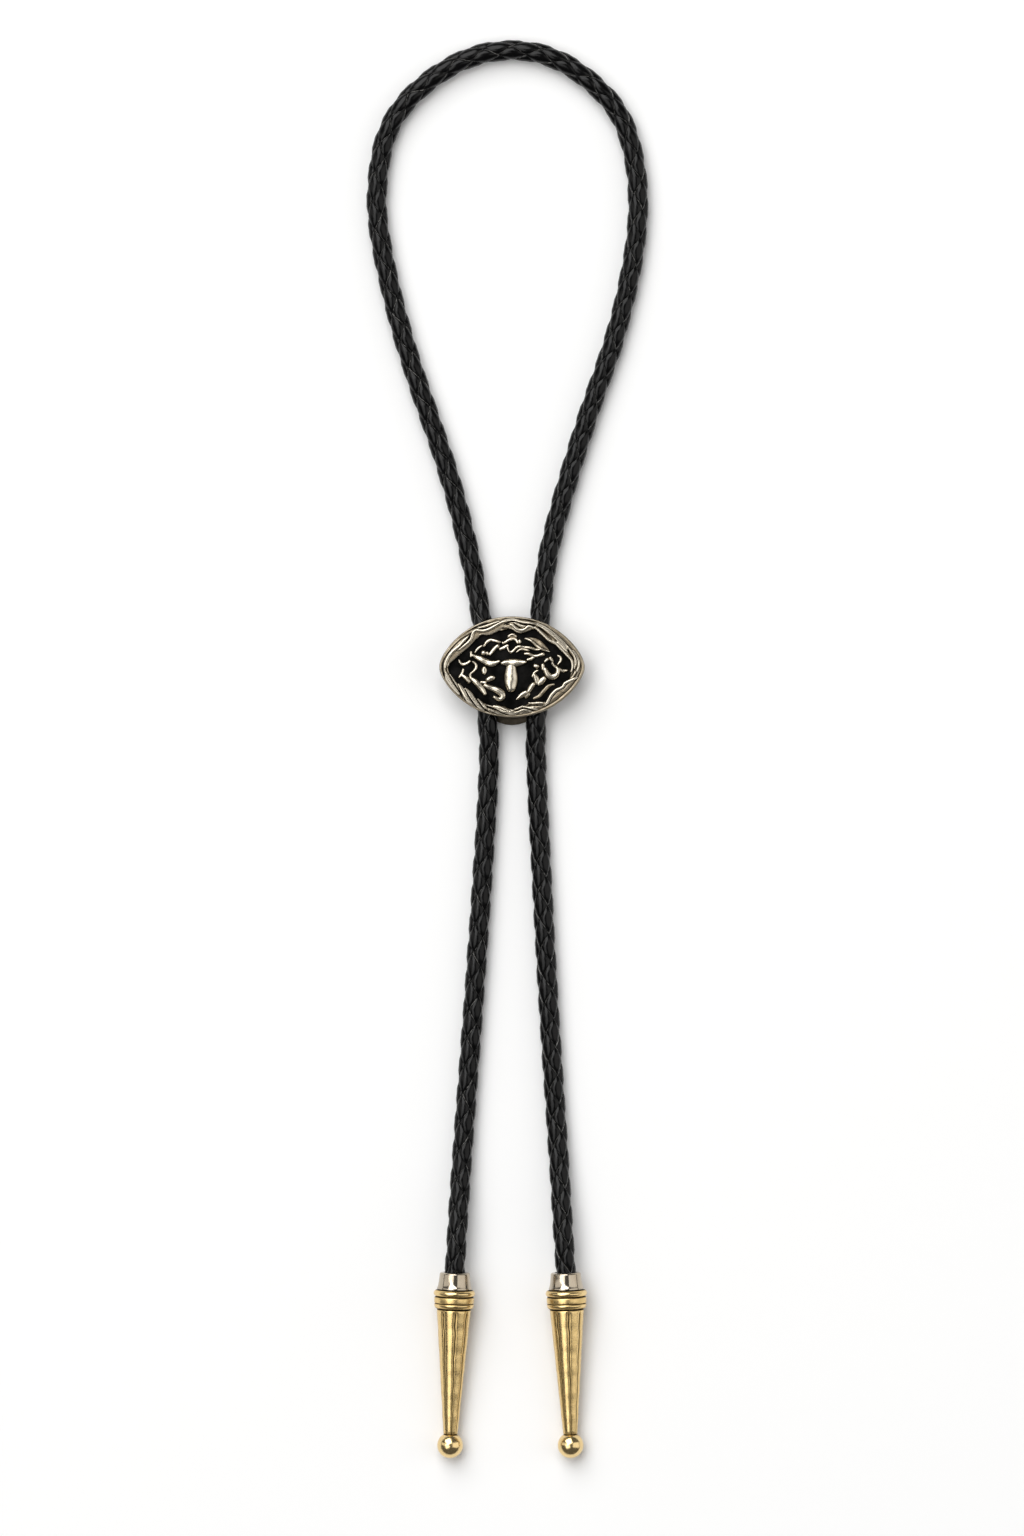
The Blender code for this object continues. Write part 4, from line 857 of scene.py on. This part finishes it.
def collar_rows():
    """The collar's section with its three bands."""
    s = COLLAR_START
    end = s + COLLAR_LENGTH
    return [
        (BORE, s, 0.0), (5.6, s, 0.1), (5.85, s + 0.1, 0.5), (6.15, s + 0.35, 0.7), (6.32, s + 0.7, 0.9),
        (COLLAR_RADIUS, s + 0.95, 0.9), (6.28, s + 1.3, 0.8), (6.1, s + 1.6, 0.5), (5.9, s + 1.75, 0.1),
        (5.62, s + 1.85, 0.0), (5.6, s + 2.02, 0.0), (5.9, s + 2.14, 0.1), (6.02, s + 2.28, 0.5),
        (6.05, s + 2.5, 0.6), (6.05, s + 3.7, 0.6), (6.0, s + 3.88, 0.3), (5.78, s + 4.0, 0.0),
        (5.78, s + 4.12, 0.0), (5.98, s + 4.25, 0.4), (6.05, s + 4.5, 0.8), (6.0, s + 4.9, 0.8),
        (5.85, s + 5.2, 0.5), (5.6, s + 5.5, 0.2), (5.3, end, 0.0), (BORE, end, 0.0), (BORE, s, 0.0),
    ]


def point_flutes(rows, turns):
    """How far the tapered point's surface is pressed in, and how worn it is, over its rows and turns."""
    share = ((rows[:, 1] - POINT_START) / POINT_LENGTH)[:, None]
    past_bore = np.arange(len(rows))[:, None] > 3
    on_cone = (share > 0.0) & (share < 1.0) & (rows[:, :1] > 2.1) & past_bore
    wander = 0.035 * np.sin(share * 19) + 0.02 * np.sin(share * 47 + 2)
    place = (turns[None] - math.pi / 2 - FLUTE_TURN) / math.tau * FLUTES + wander
    away = np.abs(place - np.round(place)) * 2
    fade = smoothstep(share / 0.03) * (1 - 0.6 * share) * on_cone
    press = 1 - FLUTE_DEPTH * fade * (1 - away) ** 5
    wear = 1 - 0.9 * smoothstep(1.2 - away / 0.22) * smoothstep(share / 0.02) * on_cone
    return press, wear


def point_rows():
    """The section of the tapered point, which waves a little, and its ball."""
    s = POINT_START
    rows = [
        (BORE, s + 6, 0.0), (BORE, s, 0.0), (5.1, s, 0.05),
        (POINT_TOP_RADIUS, s + 0.12, 0.5), (POINT_TOP_RADIUS, s + 0.4, 0.8),
    ]
    for share in np.linspace(0.03, 0.97, POINT_ROWS):
        wave = 0.03 * math.sin(share * 31) + 0.02 * math.sin(share * 67 + 1)
        radius = POINT_TOP_RADIUS + (POINT_END_RADIUS - POINT_TOP_RADIUS) * share + wave
        rows.append((radius, s + POINT_LENGTH * share, 0.68))
    start = math.degrees(math.asin(POINT_END_RADIUS / BALL_RADIUS)) - 90
    rows += [(POINT_END_RADIUS, s + POINT_LENGTH - 0.3, 0.4), (2.0, s + POINT_LENGTH - 0.1, 0.0)]
    rows += [(2.05, s + POINT_LENGTH + 0.08, 0.0)]
    rows += arc(0, BALL_CENTRE, BALL_RADIUS, start + 4, 89, 40, 1.0)
    return [*rows, (0.01, BALL_CENTRE + BALL_RADIUS, 1.0)]


brass = antique_metal(
    "antique_brass",
    bright=(0.81, 0.61, 0.3), mid=(0.73, 0.52, 0.215),
    dark=(0.03, 0.018, 0.006), sheen=(0.05, 0.03, 0.01),
    smooth=0.18, grain_scale=3400,
)
nickel = polished_nickel()
for tip_name, tip_side in (("left", -1), ("right", 1)):
    mouth, towards = tip_axis(tip_side)
    for part, rows, finish, key, slot_name in (
        ("ferrule", ferrule_rows(), nickel, "nickel_darkening", "ferrule_nickel"),
        ("collar", collar_rows(), brass, "polish", "tip_brass"),
        ("point", point_rows(), brass, "polish", "tip_brass"),
    ):
        flutes = point_flutes if part == "point" else None
        piece = turned_object(f"{tip_name}_turned_{part}", rows, mouth, towards, key, flutes)
        piece.data.materials.append(finish)
        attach(piece, "root")
        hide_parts(f"{tip_name}_{part}")

# Clip

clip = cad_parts["clip"]
clip.data.materials.clear()
clip.data.materials.append(dark_metal())

# Floor and light

SURFACE_HALF = 6000.0
SURFACE_COLOURS = ((0.895, 0.90, 0.905), (0.915, 0.92, 0.925))
WORLD_COLOUR = (1.0, 0.99, 0.98, 1)
WORLD_STRENGTH = 0.12
# Panels, as (name, degrees towards +X, degrees towards +Y, width, depth, distance, brightness, colour)
PANELS = (
    ("key", -18, 37, 4.8, 5.2, 5.5, 3.86, (1.0, 0.995, 0.99)),
    ("low_key", -25, -10, 2.5, 2.7, 4.0, 1.95, (1.0, 0.995, 0.98)),
    ("right_side", 52, 0, 2.7, 4.4, 3.6, 1.05, (1.0, 0.98, 0.95)),
    ("left_side", -52, 10, 1.1, 4.4, 3.6, 0.9, (1.0, 0.98, 0.95)),
)


def make_floor():
    s = Shader("pale_floor")
    tone = s.noise(3, 2.0)
    base = s.mix(tone, *SURFACE_COLOURS)
    s.set(Base_Color=base, Roughness=0.9, Specular_IOR_Level=0.1)
    points = [(x * SURFACE_HALF, y * SURFACE_HALF, 0) for x, y in ((-1, -1), (1, -1), (1, 1), (-1, 1))]
    floor = mesh_object("floor", points, [(0, 1, 2, 3)])
    floor.data.materials.append(s.material)


def add_panel(name, from_x, from_y, width, depth, distance, brightness, colour):
    """An area light turned from overhead by from_x and from_y degrees. Its lengths are in metres."""
    light = bpy.data.lights.new(name, "AREA")
    light.shape = "RECTANGLE"
    light.size, light.size_y = width, depth
    light.energy = brightness * math.pi * width * depth
    light.color = colour
    obj = bpy.data.objects.new(name, light)
    way = Vector((math.tan(math.radians(from_x)), math.tan(math.radians(from_y)), 1)).normalized()
    facing = way.to_track_quat("Z", "Y").to_matrix().to_4x4()
    obj.matrix_world = Matrix.Translation(way * distance) @ facing
    bpy.context.scene.collection.objects.link(obj)


def light_scene():
    make_floor()
    world = bpy.data.worlds.new("studio")
    bpy.context.scene.world = world
    world.use_nodes = True
    background = world.node_tree.nodes["Background"]
    background.inputs["Color"].default_value = WORLD_COLOUR
    background.inputs["Strength"].default_value = WORLD_STRENGTH
    for panel in PANELS:
        add_panel(*panel)
    view = bpy.context.scene.view_settings
    view.view_transform = "Standard"
    view.look = "None"
    view.exposure = 0.0
    view.gamma = 1.0


light_scene()
